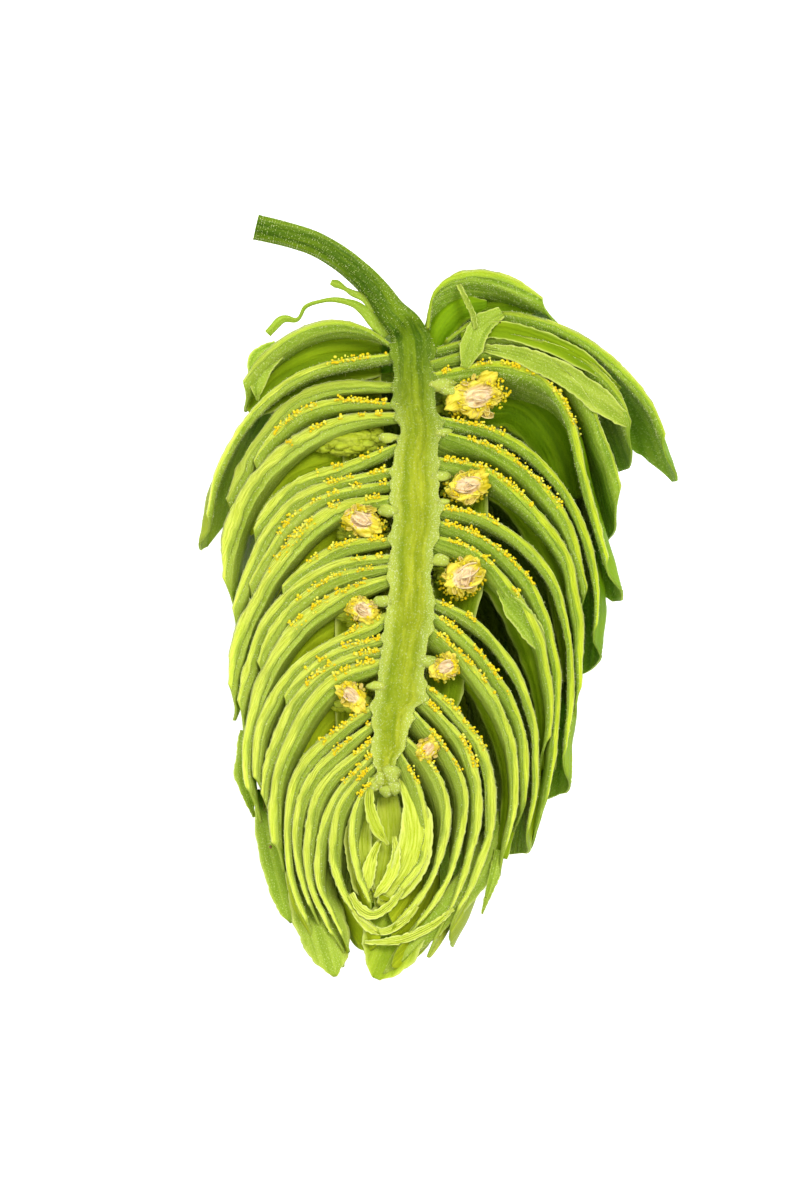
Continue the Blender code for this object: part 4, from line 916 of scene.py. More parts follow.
# Leaves besides the sectioned ones: name, spine, half-widths along it, how far its edges rise, inner face up
# (1) or outer face up (0), and how pale it is, where more than 1 adds flesh
LEAVES = [
    ("tip_leaf_left", [(-5.7, -12.3, -1.5), (-5.1, -14.6, -0.9), (-4.4, -16.8, -0.5), (-3.95, -18.85, -0.5)],
     [(0, 0.9), (0.4, 1.3), (0.7, 1.3), (0.88, 0.85), (1, 0.1)], -0.4, 0.0, 0.75),
    ("tip_leaf_right", [(-0.2, -14.6, -1.2), (-0.8, -16.2, -0.55), (-1.2, -17.6, -0.4),
                        (-1.75, -18.95, -0.5)],
     [(0, 0.9), (0.4, 1.6), (0.7, 1.45), (0.9, 0.8), (1, 0.2)], 0.35, 0.6, 0.8),
    ("tip_fold_inner", [(-3.1, -14.6, 0.0), (-2.6, -15.4, 0.0), (-1.9, -15.75, 0.0), (-1.1, -15.3, 0.0),
                        (-0.5, -14.6, 0.0)],
     [(0, 0.15), (0.3, 0.24), (0.7, 0.22), (1, 0.14)], 0.1, 0.0, 1.75),
    ("tip_fold_middle", [(-3.0, -15.4, -0.05), (-2.3, -16.3, -0.05), (-1.4, -16.6, -0.05),
                         (-0.4, -16.1, -0.05), (0.2, -15.4, -0.05)],
     [(0, 0.12), (0.3, 0.2), (0.7, 0.2), (1, 0.12)], 0.08, 0.0, 1.75),
    ("tip_fold_outer", [(-2.4, -17.1, -0.1), (-1.5, -17.1, -0.05), (-0.4, -16.95, 0.0),
                        (0.9, -16.35, 0.0), (2.0, -15.5, -0.05)],
     [(0, 0.06), (0.3, 0.2), (0.7, 0.22), (1, 0.1)], 0.08, 0.0, 1.75),
    ("outer_leaf_right", [(4.7, -10.8, -1.8), (3.5, -13.4, -0.9), (1.9, -15.3, -0.4), (0.2, -17.0, -0.3),
                          (-1.4, -18.7, -0.5)],
     [(0, 0.5), (0.3, 0.75), (0.7, 0.6), (0.9, 0.4), (1, 0.05)], -0.4, 0.0, 0.5),
    ("spike_leaf_right", [(4.5, -12.6, -0.8), (4.15, -13.9, -0.5), (3.8, -14.8, -0.45), (3.45, -15.75, -0.5)],
     [(0, 0.25), (0.4, 0.26), (0.8, 0.14), (1, 0.03)], -0.1, 0.0, 0.35),
    ("granular_flap_right", [(4.3, 0.5, -0.35), (5.0, -0.3, -0.2), (5.9, -1.3, -0.2), (6.7, -2.6, -0.3)],
     [(0, 0.1), (0.3, 0.5), (0.7, 0.55), (1, 0.15)], 0.2, 0.0, 0.3),
    ("outer_leaf_left", [(-7.4, -9.5, -2.6), (-7.2, -12.0, -2.0), (-6.75, -14.2, -1.5), (-6.1, -16.15, -1.0)],
     [(0, 0.5), (0.4, 0.75), (0.75, 0.6), (0.93, 0.35), (1, 0.05)], -0.35, 0.0, 0.45),
    ("side_leaf_left", [(-8.2, -6.5, -2.4), (-8.3, -8.8, -1.9), (-8.0, -10.8, -1.2)],
     [(0, 0.4), (0.5, 0.5), (1, 0.05)], -0.3, 0.0, 0.45),
    ("bud_petal_right", [(-0.5, -8.9, -0.5), (0.1, -10.4, -0.25), (0.25, -12.0, -0.12),
                         (-0.35, -13.8, -0.15), (-1.7, -15.3, -0.3)],
     [(0, 0.3), (0.3, 0.75), (0.6, 0.95), (0.85, 0.7), (1, 0.15)], 0.3, 1.0, 1.7),
    ("bud_petal_left", [(-2.3, -9.4, -0.9), (-2.75, -11.5, -0.7), (-2.6, -13.6, -0.6), (-2.1, -15.2, -0.6)],
     [(0, 0.3), (0.4, 0.7), (0.8, 0.6), (1, 0.12)], 0.3, 1.0, 1.6),
    ("bud_petal_middle", [(-1.3, -9.8, -1.1), (-1.2, -12.0, -0.8), (-1.4, -14.0, -0.6), (-1.8, -15.4, -0.5)],
     [(0, 0.5), (0.5, 1.0), (0.8, 0.75), (1, 0.1)], 0.3, 1.0, 1.4),
    ("bud_leaflet_upper", [(-2.1, -8.9, -0.2), (-2.2, -10.1, -0.05), (-1.85, -11.2, 0.0),
                           (-1.2, -12.25, -0.1)],
     [(0, 0.14), (0.4, 0.26), (0.75, 0.30), (1, 0.04)], 0.12, 1.0, 1.5),
    ("bud_leaflet_lower", [(-1.6, -11.9, -0.3), (-2.05, -13.0, -0.15), (-2.35, -14.7, -0.25)],
     [(0, 0.08), (0.5, 0.34), (0.85, 0.3), (1, 0.05)], 0.15, 1.0, 1.8),
    ("bud_leaflet_right", [(-0.9, -11.8, -0.2), (-0.8, -12.8, -0.05), (-1.15, -14.0, -0.05),
                           (-1.9, -14.9, -0.1)],
     [(0, 0.10), (0.5, 0.36), (0.85, 0.26), (1, 0.05)], 0.15, 1.0, 1.8),
    ("bud_leaflet_tip", [(-2.0, -14.55, -0.3), (-1.4, -15.0, -0.2), (-0.7, -15.2, -0.35)],
     [(0, 0.06), (0.5, 0.16), (1, 0.04)], 0.05, 1.0, 1.0),
    ("torn_flap", [(4.5, 14.3, 0.05), (3.5, 13.6, 0.22), (3.0, 12.6, 0.22), (2.65, 11.5, 0.0)],
     [(0, 0.30), (0.3, 0.55), (0.7, 0.62), (1, 0.2)], 0.15, 0.0, 0.45),
    ("hanging_strip", [(2.35, 15.7, -0.1), (2.7, 14.9, 0.3), (3.0, 14.2, 0.4), (3.2, 13.4, 0.35)],
     [(0, 0.10), (0.4, 0.15), (0.8, 0.13), (1, 0.07)], 0.08, 0.0, 0.6),
    ("flap_upper_left", [(-6.6, 12.6, -0.6), (-7.5, 12.0, -0.4), (-7.75, 11.0, -0.3), (-7.8, 10.1, -0.35)],
     [(0, 0.5), (0.4, 0.7), (0.75, 0.4), (1, 0.05)], 0.2, 0.0, 0.35),
    ("core_tissue_left", [(-2.4, 11.3, -1.6), (-2.4, 4.0, -1.6), (-2.4, 0.0, -1.6), (-3.0, -6.5, -1.5)],
     [(0, 0.9), (0.4, 1.2), (0.7, 1.3), (1, 0.8)], 0.3, 1.0, 0.9),
    ("cavity_leaf_right_1", [(2.2, 9.6, -2.6), (5.2, 9.9, -2.8), (7.2, 7.9, -2.6), (8.2, 5.0, -2.2)],
     [(0, 0.9), (0.4, 1.5), (0.8, 0.9), (1, 0.5)], -0.5, 1.0, 0.0),
    ("cavity_leaf_right_2", [(2.2, 6.2, -1.75), (5.0, 5.0, -1.55), (6.7, 2.5, -1.45), (7.7, -0.6, -1.35),
                             (8.1, -4.0, -1.25)],
     [(0, 0.5), (0.4, 0.8), (0.8, 0.6), (1, 0.4)], -0.3, 1.0, 0.2),
    ("cavity_leaf_right_3", [(2.0, 2.2, -1.75), (4.4, 0.6, -1.55), (5.9, -2.0, -1.45),
                             (6.7, -5.0, -1.35), (6.8, -8.6, -1.25)],
     [(0, 0.5), (0.4, 0.8), (0.8, 0.6), (1, 0.4)], -0.3, 1.0, 0.2),
    ("cavity_leaf_right_4", [(1.4, -2.6, -1.65), (3.4, -4.6, -1.45), (4.7, -7.6, -1.35),
                             (5.0, -10.4, -1.25), (4.6, -13.0, -1.15)],
     [(0, 0.4), (0.4, 0.6), (0.8, 0.5), (1, 0.3)], -0.3, 1.0, 0.3),
    ("cavity_leaf_left_1", [(-2.0, 7.7, -1.85), (-4.4, 7.1, -1.65), (-6.6, 6.0, -1.55), (-8.4, 3.4, -1.45)],
     [(0, 0.7), (0.4, 0.9), (0.8, 0.6), (1, 0.3)], -0.3, 1.0, 0.7),
    ("cavity_leaf_left_2", [(-1.8, 4.0, -1.85), (-4.3, 3.3, -1.65), (-6.5, 1.6, -1.55), (-7.9, -1.0, -1.45)],
     [(0, 0.7), (0.4, 0.8), (0.8, 0.6), (1, 0.3)], -0.3, 1.0, 0.8),
    ("cavity_leaf_left_3", [(-1.9, -0.3, -1.85), (-4.3, -1.5, -1.65), (-6.2, -3.3, -1.55),
                            (-7.5, -6.4, -1.45)],
     [(0, 0.6), (0.4, 0.8), (0.8, 0.6), (1, 0.3)], -0.3, 1.0, 0.85),
    ("cavity_leaf_left_4", [(-2.0, -4.6, -1.85), (-4.2, -5.8, -1.65), (-5.6, -7.8, -1.55),
                            (-6.6, -11.0, -1.45)],
     [(0, 0.6), (0.4, 0.7), (0.8, 0.6), (1, 0.3)], -0.3, 1.0, 0.9),
    ("core_tissue_right", [(2.2, 12.0, -1.7), (2.5, 6.0, -1.7), (2.2, 0.0, -1.6), (1.2, -6.5, -1.4)],
     [(0, 1.0), (0.5, 1.4), (1, 0.8)], 0.3, 1.0, 0.35),
    ("hood_leaf_right", [(1.0, 12.4, -0.55), (1.5, 13.5, -0.6), (2.4, 14.4, -0.7), (3.8, 14.7, -0.9)],
     [(0, 0.45), (0.4, 0.85), (0.8, 0.6), (1, 0.2)], -0.35, 1.0, 0.0),
    ("under_leaf_upper_right", [(1.2, 13.0, -1.5), (2.8, 14.5, -1.4), (4.8, 14.9, -1.3), (6.4, 14.7, -1.1)],
     [(0, 0.5), (0.3, 1.2), (0.7, 1.0), (1, 0.3)], 0.5, 1.0, 0.1),
    ("inner_leaf_right", [(3.6, 12.5, -0.1), (5.6, 12.15, 0.0), (7.6, 11.25, 0.0), (9.3, 9.95, -0.05),
                          (10.85, 8.6, -0.15)],
     [(0, 0.2), (0.3, 0.5), (0.75, 0.62), (0.93, 0.4), (1, 0.1)], 0.2, 0.0, 0.75),
    ("hood_inner_right", [(2.5, 13.0, -0.1), (4.4, 13.4, 0.0), (6.6, 12.95, 0.0), (8.6, 11.9, -0.05),
                          (10.4, 10.4, -0.25)],
     [(0, 0.3), (0.3, 0.5), (0.7, 0.45), (1, 0.1)], 0.25, 1.0, 0.3),
    ("under_leaf_upper_left", [(-1.6, 12.0, -1.5), (-4.2, 11.9, -1.4), (-6.4, 11.0, -1.3), (-8.2, 9.4, -1.2)],
     [(0, 0.9), (0.3, 1.6), (0.7, 1.3), (1, 0.3)], 0.4, 1.0, 0.35),
]  # fmt: skip


# Soft tissue in the cavities: name, middle, half-spreads, depth, number of swellings and how pale it is
TISSUE = [
    ("tissue_left_1", -3.2, 8.0, 1.6, 0.6, 0.8, 95, 1.0),
    ("tissue_left_2", -2.3, 3.6, 1.1, 0.5, 0.8, 45, 1.0),
    ("tissue_left_3", -2.4, -0.7, 1.1, 0.5, 0.8, 45, 1.0),
    ("tissue_left_4", -2.9, -5.0, 1.0, 0.5, 0.8, 40, 1.0),
    ("tissue_right_1", 2.2, 10.0, 0.8, 0.9, 0.9, 24, 0.55),
    ("tissue_right_2", 2.2, 5.4, 0.7, 0.6, 0.8, 18, 0.6),
    ("tissue_right_3", 2.0, 1.0, 0.7, 0.6, 0.8, 18, 0.65),
    ("tissue_right_4", 1.5, -3.4, 0.6, 0.4, 0.7, 14, 0.8),
]  # fmt: skip


# ---------------------------------------------------------------- beads, hairs and specks


def ball(subdivisions):
    """A unit icosphere as points and faces."""
    mesh = bpy.data.meshes.new("ball")
    shape = bmesh.new()
    bmesh.ops.create_icosphere(shape, subdivisions=subdivisions, radius=1.0)
    shape.to_mesh(mesh)
    shape.free()
    points = np.array([v.co for v in mesh.vertices], float)
    faces = np.array([tuple(p.vertices) for p in mesh.polygons])
    bpy.data.meshes.remove(mesh)
    return points, faces


BALL, GRAIN = ball(2), ball(1)
STRIG_ROWS, STRIG_AROUND = 260, 96
STEM_ROWS = 75  # rings of the stem above the halved strig


def beads(name, centres, radii, look, slot, rng):
    """Small lumpy balls at these places of the cone's own frame, as one piece."""
    points, faces = GRAIN
    stretch = 1 + 0.18 * rng.standard_normal((len(centres), 1, 3)).clip(-1.5, 1.5)
    all_points = centres[:, None] + radii[:, None, None] * stretch * points[None]
    starts = np.arange(len(centres)) * len(points)
    all_faces = (faces[None] + starts[:, None, None]).reshape(-1, 3)
    tint = np.repeat(rng.random(len(centres)), len(points))
    return add(name, laid(all_points.reshape(-1, 3)), all_faces, look, slot, tint=tint)


def tissue(name, x, y, half_x, half_y, depth, count, pale, rng):
    """Lumpy soft tissue on the floor of a cavity, as one piece of crowded swellings."""
    spread = rng.uniform(-1, 1, (count, 2))
    size = 0.14 + 0.20 * rng.random(count)
    parts = []
    for (across, along_it), radius in zip(spread, size):
        points, faces = BALL
        points = points * radius * (1 + 0.6 * noise(points * radius + 5.0 * across, 0.15, 62))[:, None]
        sink = depth + 0.35 * (across**2 + along_it**2)
        points = points * (1.3, 0.9, 0.8) + (x + half_x * across, y + half_y * along_it, -sink)
        parts.append((points, faces.tolist()))
    points, faces = gathered(parts)
    flat = np.zeros(len(points))
    marks = dict(grain=points, inside=flat + 1, cut=flat + 0.3, rim=flat, pale=flat + pale)
    add(name, laid(points), faces, LEAF, "bract", **marks)


def hairs(name, roots, normals, length, rng):
    """Short bristles that stand on a surface, each a thin three-sided spike."""
    lean = unit(normals + 0.7 * rng.standard_normal(normals.shape))
    side = unit(np.cross(lean, rng.standard_normal(lean.shape)))
    third = np.cross(lean, side)
    tall = length * (0.5 + rng.random((len(roots), 1)))
    corners = [math.cos(a) * side + math.sin(a) * third for a in (0, 2.1, 4.2)]
    ring = [roots + HAIR_RADIUS * corner - 0.03 * lean for corner in corners]
    points = np.stack([*ring, roots + tall * lean], axis=1)
    base = np.array([(0, 1, 3), (1, 2, 3), (2, 0, 3), (2, 1, 0)])
    faces = (base[None] + 4 * np.arange(len(roots))[:, None, None]).reshape(-1, 3)
    tint = np.repeat(rng.random(len(roots)), 4)
    return add(name, laid(points.reshape(-1, 3)), faces, HAIR_LOOK, "strig", tint=tint)


def gland_places(bract, rng):
    """Bead centres and radii along the outer side of a bract's cut edge, thinning out from the base."""
    tried = int(bract.glands * GLAND_DENSITY)
    if tried == 0:
        return np.zeros((0, 3)), np.zeros(0)
    s = 0.25 + bract.glands * rng.random(tried) ** 1.25
    clumps = noise(spread(s, 5.1 * bract.number), 0.5, 61)
    s = s[clumps > -0.25]
    count = len(s)
    below = 0.02 + 0.85 * rng.random(count) ** 2.0
    reach = np.abs(bract.on(bract.edge, bract.edge_length, s)[..., 0])
    angle = np.degrees(below / np.maximum(reach, 1.0))
    here, next_one = bract.point(s, angle), bract.point(s + 0.05, angle)
    out = unit(np.cross(next_one - here, UP)) * -bract.side
    radius = GLAND_RADIUS + GLAND_SPREAD * rng.random(count)
    inset = 0.5 * bract.band_width(s) * np.exp(-((below / LIP_DEPTH) ** 2)) + 0.03
    heap = 0.24 * rng.random(count) ** 2.5
    where = here + out * (inset + 0.3 * radius + heap - 0.12 * (below < 0.06))[:, None]
    where[:, 2] += 0.05 * rng.random(count)
    return where, radius


def rim_hair_places(bract, rng):
    """Roots and directions of the bristles on the two rims of a cut edge."""
    rows = np.nonzero(bract.at_cut)[0]
    row = rng.choice(rows, int(bract.edge_length * RIM_HAIR_DENSITY))
    outer, inner = bract.rims
    side = rng.integers(0, 2, len(row))
    across = unit(outer[row] - inner[row])
    root = np.where(side[:, None] == 0, outer[row], inner[row])
    root = root + 0.08 * rng.standard_normal((len(row), 1)) * bract.runs[row]
    return root, unit(across * np.where(side == 0, 1, -1)[:, None] + 0.6 * UP)


def fuzz_places(bract, rng):
    """Roots and directions of the down on the outer face that swells out below the cut."""
    rows, columns = np.nonzero((bract.below > 0.15) & (bract.below < 2.6) & bract.at_cut[:, None])
    pick = rng.integers(0, len(rows), int(DOWN_DENSITY * bract.edge_length * min(bract.swell, 1.0)))
    row, column = rows[pick], columns[pick]
    share = rng.random((len(pick), 1))
    far = np.minimum(row + 1, len(bract.outer) - 1)
    root = bract.outer[row, column] * share + bract.outer[far, column] * (1 - share)
    return root, bract.outward[row, column]


# ---------------------------------------------------------------- stem and strig


def stem_and_strig():
    """The round stem, the halved strig with ragged sides and relief on its cut, and the knob at its tip."""
    line = along(STRIG, STRIG_ROWS)
    x, y, radius = line.T
    is_cut = smooth((WHOLE_STEM_ABOVE - y) / (WHOLE_STEM_ABOVE - CUT_BELOW))
    lower = smooth((13.6 - y) / 1.0)
    left = np.interp(y, *zip(*STRIG_LEFT[::-1]))
    right = np.interp(y, *zip(*STRIG_RIGHT[::-1]))
    x = x * (1 - lower) + 0.5 * (left + right) * lower
    radius = radius * (1 - lower) + 0.5 * (right - left) * lower
    around = STRIG_AROUND
    turn = circle(around)
    path = spread(x, y, 0.0)
    ahead = np.gradient(path, axis=0)
    ahead[:, 0] *= 1 - lower
    across = np.cross(unit(ahead), UP)
    cos, sin = np.cos(turn), np.sin(turn)
    run = np.concatenate([[0], np.cumsum(np.linalg.norm(np.diff(path, axis=0), axis=1))])
    skin = spread(run[:, None] * 0.25, cos, sin)
    teeth = np.zeros((len(y), around))
    for k, row in enumerate(CUT_BRACTS):
        base = row[-1][0]
        hit = (1 + 0.6 * math.sin(2.3 * k)) * np.exp(-(((y - base[1]) / 0.27) ** 2))
        facing = np.clip(cos * np.sign(base[0]) * np.sign(across[len(y) // 2, 0]), 0, 1) ** 6
        teeth += 0.17 * hit[:, None] * facing
    ribs = 0.05 * np.cos(9 * turn) * (1 - lower)[:, None] + 0.03 * noise(skin, 0.16, 21)
    ragged_at = spread(y[:, None], np.sign(cos) * 9.0)
    ragged = lower[:, None] * (0.07 * noise(ragged_at, 0.45, 22) + 0.04 * noise(ragged_at, 0.16, 23))
    reach = radius[:, None] * (1 + ribs) + ragged + teeth * lower[:, None]
    rings = path[:, None] + reach[..., None] * (cos[:, None] * across[:, None] + sin[:, None] * UP)
    height = np.where(is_cut > 0, 1.2 * (1 - is_cut), 9.0)[:, None]
    top = np.where(height < rings[..., 2], 1.0, 0.0)
    grooves_at = spread(rings[..., 0], rings[..., 1] * 0.14, 5.0)
    relief = 0.02 * noise(grooves_at, 0.3, 24) + 0.07 * noise(rings, 0.6, 25) + 0.035 * noise(rings, 0.15, 26)
    rings[..., 2] = np.minimum(rings[..., 2], height + relief * is_cut[:, None])
    grain = spread(run[:, None], reach * cos, reach * sin).reshape(-1, 3)
    stem = np.repeat(smooth((y - 5.5) / 8.5), around)
    margin = np.tile(smooth((np.abs(cos) - 0.45) / 0.5), len(y))
    bared = (top * is_cut[:, None]).ravel()
    parts = [(rings.reshape(-1, 3), capped(len(y), around), grain, stem, bared, margin)]
    for cx, cy, size in KNOBS:
        lump, lump_faces = BALL
        flattened = (1.0, 1.1, 0.8) if cy < TIP_KNOBS_BELOW else (1.35, 0.7, 0.7)
        lump = lump * size * (1 + 0.4 * noise(lump * size + cx * 9, 0.3, 27))[:, None] * flattened
        lump = lump + (cx, cy, -0.12 - 0.15 * size)
        flat = np.zeros(len(lump))
        parts.append((lump, lump_faces.tolist(), lump, flat, flat + 1.0, flat + 1.0))
    points, faces, grain, stem, cut, margin = gathered(parts)
    return laid(points), faces, dict(grain=grain, stem=stem, cut=cut, margin=margin), rings


def ribbon(path, widths, thickness, around=16):
    """A flattened tube along a path, waving a little."""
    path = along(path, 70)
    ahead, across = path_frame(path)
    upward = np.cross(across, ahead)
    at = np.linspace(0, 1, len(path))
    width = np.interp(at, *zip(*widths))
    turn = circle(around)
    ring = width[:, None, None] * np.cos(turn)[:, None] * across[:, None]
    rings = path[:, None] + ring + thickness * np.sin(turn)[:, None] * upward[:, None]
    rings = rings + 0.05 * noise(rings, 0.5, 31)[..., None] * across[:, None]
    grain = spread(at[:, None] * length_of(path), turn * 0.3, 0.0).reshape(-1, 3)
    flat = np.zeros(len(grain))
    marks = dict(grain=grain, inside=flat + 0.2, cut=flat, rim=flat, pale=flat + 0.45)
    return *resting(rings.reshape(-1, 3), capped(len(path), around)), marks


# ---------------------------------------------------------------- seeds


def husk(x, y, half_width, half_length, turn, number):
    """A torn, crusted perianth with a hollow in its cut side."""
    rows, around = 40, 64
    ahead, beside = heading(turn)
    p, t = np.meshgrid(np.linspace(0.0, np.pi, rows), circle(around), indexing="ij")
    shape = spread(np.cos(p), np.sin(p) * np.cos(t), np.sin(p) * np.sin(t))
    lumps = 1 + 0.34 * noise(shape + number, 0.6, 41) + 0.20 * noise(shape + number, 0.25, 42)
    size = np.array([half_length, half_width, half_width * 0.95]) * 1.1
    local = shape * size * (lumps + 0.10 * noise(shape + number, 0.1, 44))[..., None]
    open_top = smooth((local[..., 2] / half_width - 0.1) / 0.35)
    away = np.hypot(local[..., 0] / half_length, local[..., 1] / half_width)
    crater = 1 - np.clip(away / (0.75 + 0.25 * noise(shape + number, 0.5, 45)), 0, 1) ** 4
    local[..., 2] -= open_top * crater * half_width * 0.8
    rim_height = half_width * (0.30 + 0.28 * noise(local + number, 0.35, 46))
    local[..., 2] = np.minimum(local[..., 2], rim_height)
    centre = np.array([x, y, -0.2 * half_width])
    points = centre + local[..., :1] * ahead + local[..., 1:2] * beside + local[..., 2:] * UP
    crust = np.clip(1.1 - open_top * crater * 1.6 + 0.3 * noise(local + number, 0.3, 47), 0, 1)
    return points.reshape(-1, 3), loop_faces(rows, around), (local + number).reshape(-1, 3), crust.ravel()


FLAKE_HALF = 0.03  # half the thickness of a flake


def flake(centre, ahead, size, number, curl=0.4, crust=0.0):
    """A small crumpled sheet of papery tissue."""
    count = 9
    a, b = np.meshgrid(np.linspace(-1, 1, count), np.linspace(-1, 1, count), indexing="ij")
    beside = np.cross(UP, ahead)
    outline = 1 - 0.45 * a**2
    lift = curl * (b**2 - 0.3) + 0.35 * noise(spread(a, b, number), 0.7, 43)
    level = centre + size * a[..., None] * ahead + size * 0.6 * (b * outline)[..., None] * beside
    sides = [level + (size * lift + half)[..., None] * UP for half in (FLAKE_HALF, -FLAKE_HALF)]
    points = np.concatenate([side.reshape(-1, 3) for side in sides])
    at = np.arange(count * count).reshape(count, count)
    other = at + count * count
    faces = []
    for i in range(count - 1):
        for j in range(count - 1):
            faces.append((at[i, j], at[i + 1, j], at[i + 1, j + 1], at[i, j + 1]))
            faces.append((other[i, j], other[i, j + 1], other[i + 1, j + 1], other[i + 1, j]))
    rim = [*at[0, :], *at[1:, -1], *at[-1, -2::-1], *at[-2:0:-1, 0]]
    for k in range(len(rim)):
        n = (k + 1) % len(rim)
        faces.append((rim[k], rim[n], rim[n] + count * count, rim[k] + count * count))
    grain = spread(np.tile(a.ravel(), 2), np.tile(b.ravel(), 2), number)
    return points, faces, grain * 0.8, np.full(len(points), crust)


def seed(name, x, y, half_width, half_length, turn, rng):
    number = 5 * rng.random()
    parts = [husk(x, y, half_width, half_length, turn, number)]
    for k in range(4):
        ahead, _ = heading(turn + 70 * (rng.random() - 0.5))
        aside = (0.3 * half_width * rng.standard_normal(2)).clip(-0.3, 0.3)
        spot = np.array([x, y, -0.16]) + (*aside, 0.05 * k)
        parts.append(flake(spot, ahead, half_width * (0.5 + 0.3 * rng.random()), 3.1 * k + number, 0.6))
    for k in range(12):
        spin = 2 * np.pi * (k + rng.random()) / 12
        away = np.array([math.cos(spin), math.sin(spin), 0.0])
        spot = np.array([x, y, -0.1 * rng.random()])
        spot = spot + away * 0.5 * (half_width + half_length) * (0.8 + 0.3 * rng.random())
        leaned = unit(away * 0.6 + np.array([-away[1], away[0], 0.0]) * rng.standard_normal())
        size = half_width * (0.22 + 0.2 * rng.random())
        parts.append(flake(spot, leaned, size, 2.3 * k + number, 0.9, 0.4 + 0.6 * rng.random()))
    points, faces, grain, crust = gathered(parts)
    add(name + "_husk", laid(points), faces, SEED_LOOK, "seed", (name,), grain=grain, crust=crust)


def seed_beads(rng):
    """Bead centres and radii crusted round each seed."""
    centres, radii = [], []
    for _, x, y, half_width, half_length, turn in SEEDS:
        ahead, beside = heading(turn)
        count = int(SEED_GLANDS * half_width)
        spin = 2 * np.pi * rng.random(count)
        out = 0.75 + 0.75 * rng.random(count) ** 1.3
        place = (
            np.array([x, y, 0.0])
            + (half_length * out * np.cos(spin))[:, None] * ahead
            + (half_width * out * np.sin(spin))[:, None] * beside
        )
        place[:, 2] = -0.9 * (out - 0.75) - 0.30 * rng.random(count) ** 2 + 0.10
        centres.append(place)
        radii.append(SEED_GLAND_RADIUS + SEED_GLAND_SPREAD * rng.random(count))
    return np.concatenate(centres), np.concatenate(radii)


# ---------------------------------------------------------------- the whole


def build():
    made = bracts()
    for bract in made:
        wide = bract.edge is None or bract.half >= WIDE_FROM
        points, faces, marks = bract.shell(ROWS, WIDE_COLUMNS if wide else COLUMNS)
        node = bract.name
        slot = "outer_bract" if bract.edge is None else "bracteole" if "bracteole" in node else "bract"
        add(node + "_shell", points, faces, LEAF, slot, (node,), **marks)

    for number, (name, *leaf) in enumerate(LEAVES):
        points, faces, marks = petal(*leaf, 3.0 * number + 1)
        add(name, points, faces, LEAF, "bract", **marks)

    points, faces, marks, rings = stem_and_strig()
    add("stem_and_strig_flesh", points, faces, STRIG_LOOK, "strig", ("stem_and_strig",), **marks)
    for name, node, path, widths, thickness in (
        ("curled_stipule_ribbon", "curled_stipule", TENDRIL, TENDRIL_WIDTHS, 0.07),
        ("stipule_stub_skin", "stipule_stub", STUB, STUB_WIDTHS, 0.10),
    ):
        points, faces, marks = ribbon(path, widths, thickness)
        add(name, points, faces, LEAF, "bract", (node,), **marks)

    rng = np.random.default_rng(11)
    for name, *numbers in SEEDS:
        seed(name, *numbers, rng)
    for name, *numbers in TISSUE:
        tissue(name, *numbers, rng)
    for side, word in ((LEFT, "left"), (RIGHT, "right")):
        sectioned = [b for b in made if b.side == side and b.edge is not None]
        places = [rim_hair_places(b, rng) for b in sectioned]
        places += [fuzz_places(b, rng) for b in sectioned if b.swell > 0.25]
        roots, away = (np.concatenate([p[k] for p in places]) for k in (0, 1))
        hairs(word + "_bract_hairs", roots, away, HAIR_LENGTH, rng)
        places = [gland_places(b, rng) for b in made if b.side == side and b.edge is not None]
        centres = np.concatenate([p[0] for p in places])
        radii = np.concatenate([p[1] for p in places])
        beads(word + "_lupulin", centres, radii, BEAD_LOOK, "seed", rng)
    centres, radii = seed_beads(rng)
    beads("seed_lupulin", centres, radii, BEAD_LOOK, "seed", rng)

    size = SPECK_RADIUS * (1 + rng.random(len(SPECKS)))
    beads("soil_specks", np.array(SPECKS), size, DIRT_LOOK, "bract", rng)
    i = (len(rings) * rng.random(STEM_HAIRS) ** 1.3).astype(int)
    j = rng.integers(0, rings.shape[1], STEM_HAIRS)
    on_margin = np.abs(np.cos(2 * np.pi * j / rings.shape[1])) > 0.75
    kept = (i < STEM_ROWS) | on_margin
    roots = rings[i[kept], j[kept]]
    away = unit(roots - rings[i[kept]].mean(axis=1))
    hairs("stem_hairs", roots, away, STEM_HAIR_LENGTH, rng)


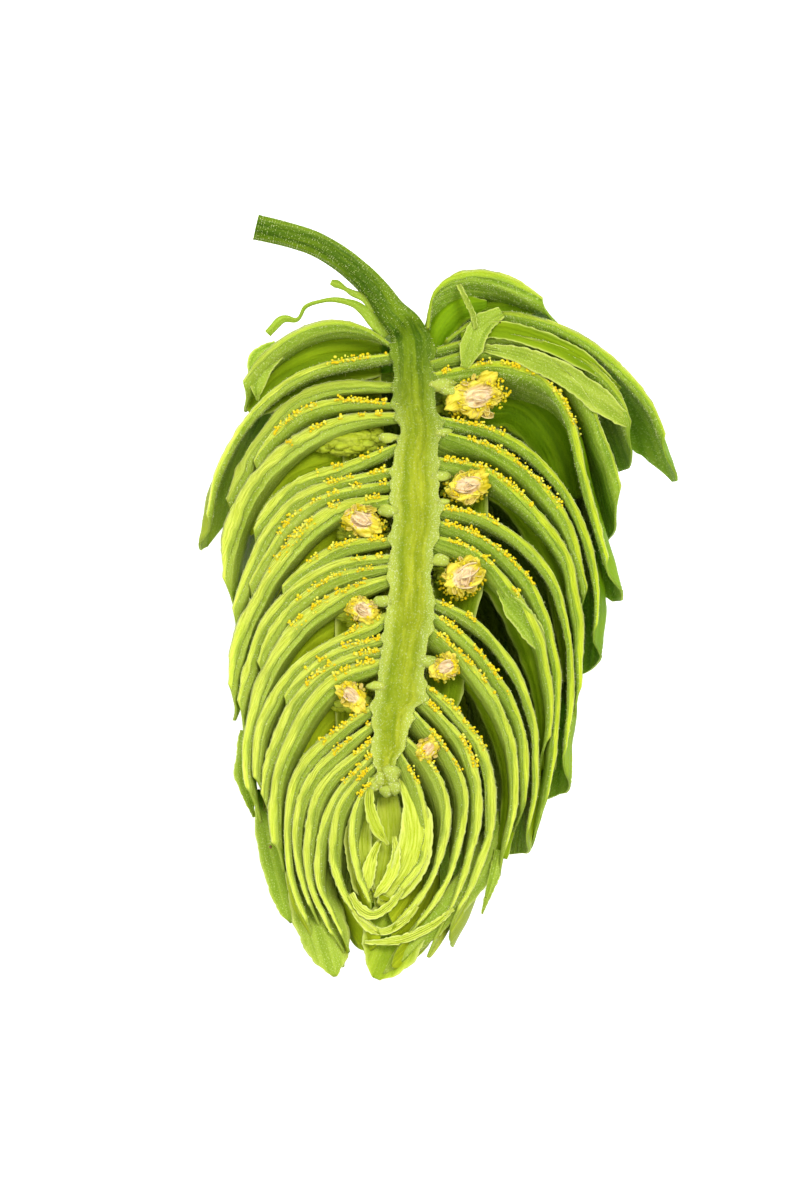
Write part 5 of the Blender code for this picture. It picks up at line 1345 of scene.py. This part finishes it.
FLOOR_HALF = 3.0  # metres
CAMERA_RISE, CAMERA_SEES = 350.0, 59.95  # height above the cut and width seen there
CAMERA_OVER = (-1.70, 0.025)
SENSOR = 36.0


def studio():
    """A pale floor, white surroundings, two soft lights and the camera straight above."""
    floor_mesh = bpy.data.meshes.new("floor")
    corners = [(x * FLOOR_HALF, y * FLOOR_HALF, 0) for x, y in ((-1, -1), (1, -1), (1, 1), (-1, 1))]
    floor_mesh.from_pydata(corners, [], [(0, 1, 2, 3)])
    floor = bpy.data.objects.new("floor", floor_mesh)
    bpy.context.scene.collection.objects.link(floor)
    look = Look("floor", roughness=0.9)
    look.finish((1.0, 1.0, 1.0))
    look.shader.inputs["Emission Color"].default_value = (1.0, 1.0, 1.0, 1.0)
    look.shader.inputs["Emission Strength"].default_value = 0.35
    floor_mesh.materials.append(look.material)

    world = bpy.data.worlds.new("studio")
    bpy.context.scene.world = world
    world.use_nodes = True
    world.node_tree.nodes["Background"].inputs["Color"].default_value = (1.0, 1.0, 1.0, 1.0)
    world.node_tree.nodes["Background"].inputs["Strength"].default_value = 0.85

    for name, place, size, power in (
        ("key", (0.25, 0.45, 0.75), 0.35, 7.0),
        ("fill", (-0.5, -0.2, 0.7), 0.6, 3.0),
    ):
        lamp = bpy.data.lights.new(name, "AREA")
        lamp.size, lamp.energy = size, power
        light = bpy.data.objects.new(name, lamp)
        bpy.context.scene.collection.objects.link(light)
        light.location = place
        light.rotation_euler = (-Vector(place)).to_track_quat("-Z", "Y").to_euler()

    camera_data = bpy.data.cameras.new("camera")
    camera = bpy.data.objects.new("camera", camera_data)
    bpy.context.scene.collection.objects.link(camera)
    camera.location = (CAMERA_OVER[0] * MM, CAMERA_OVER[1] * MM, (CUT_HEIGHT + CAMERA_RISE) * MM)
    camera_data.sensor_width = SENSOR
    camera_data.lens = SENSOR * CAMERA_RISE / CAMERA_SEES
    camera_data.clip_start = 0.01
    bpy.context.scene.camera = camera
    bpy.context.scene.view_settings.view_transform = "Standard"


build()
studio()
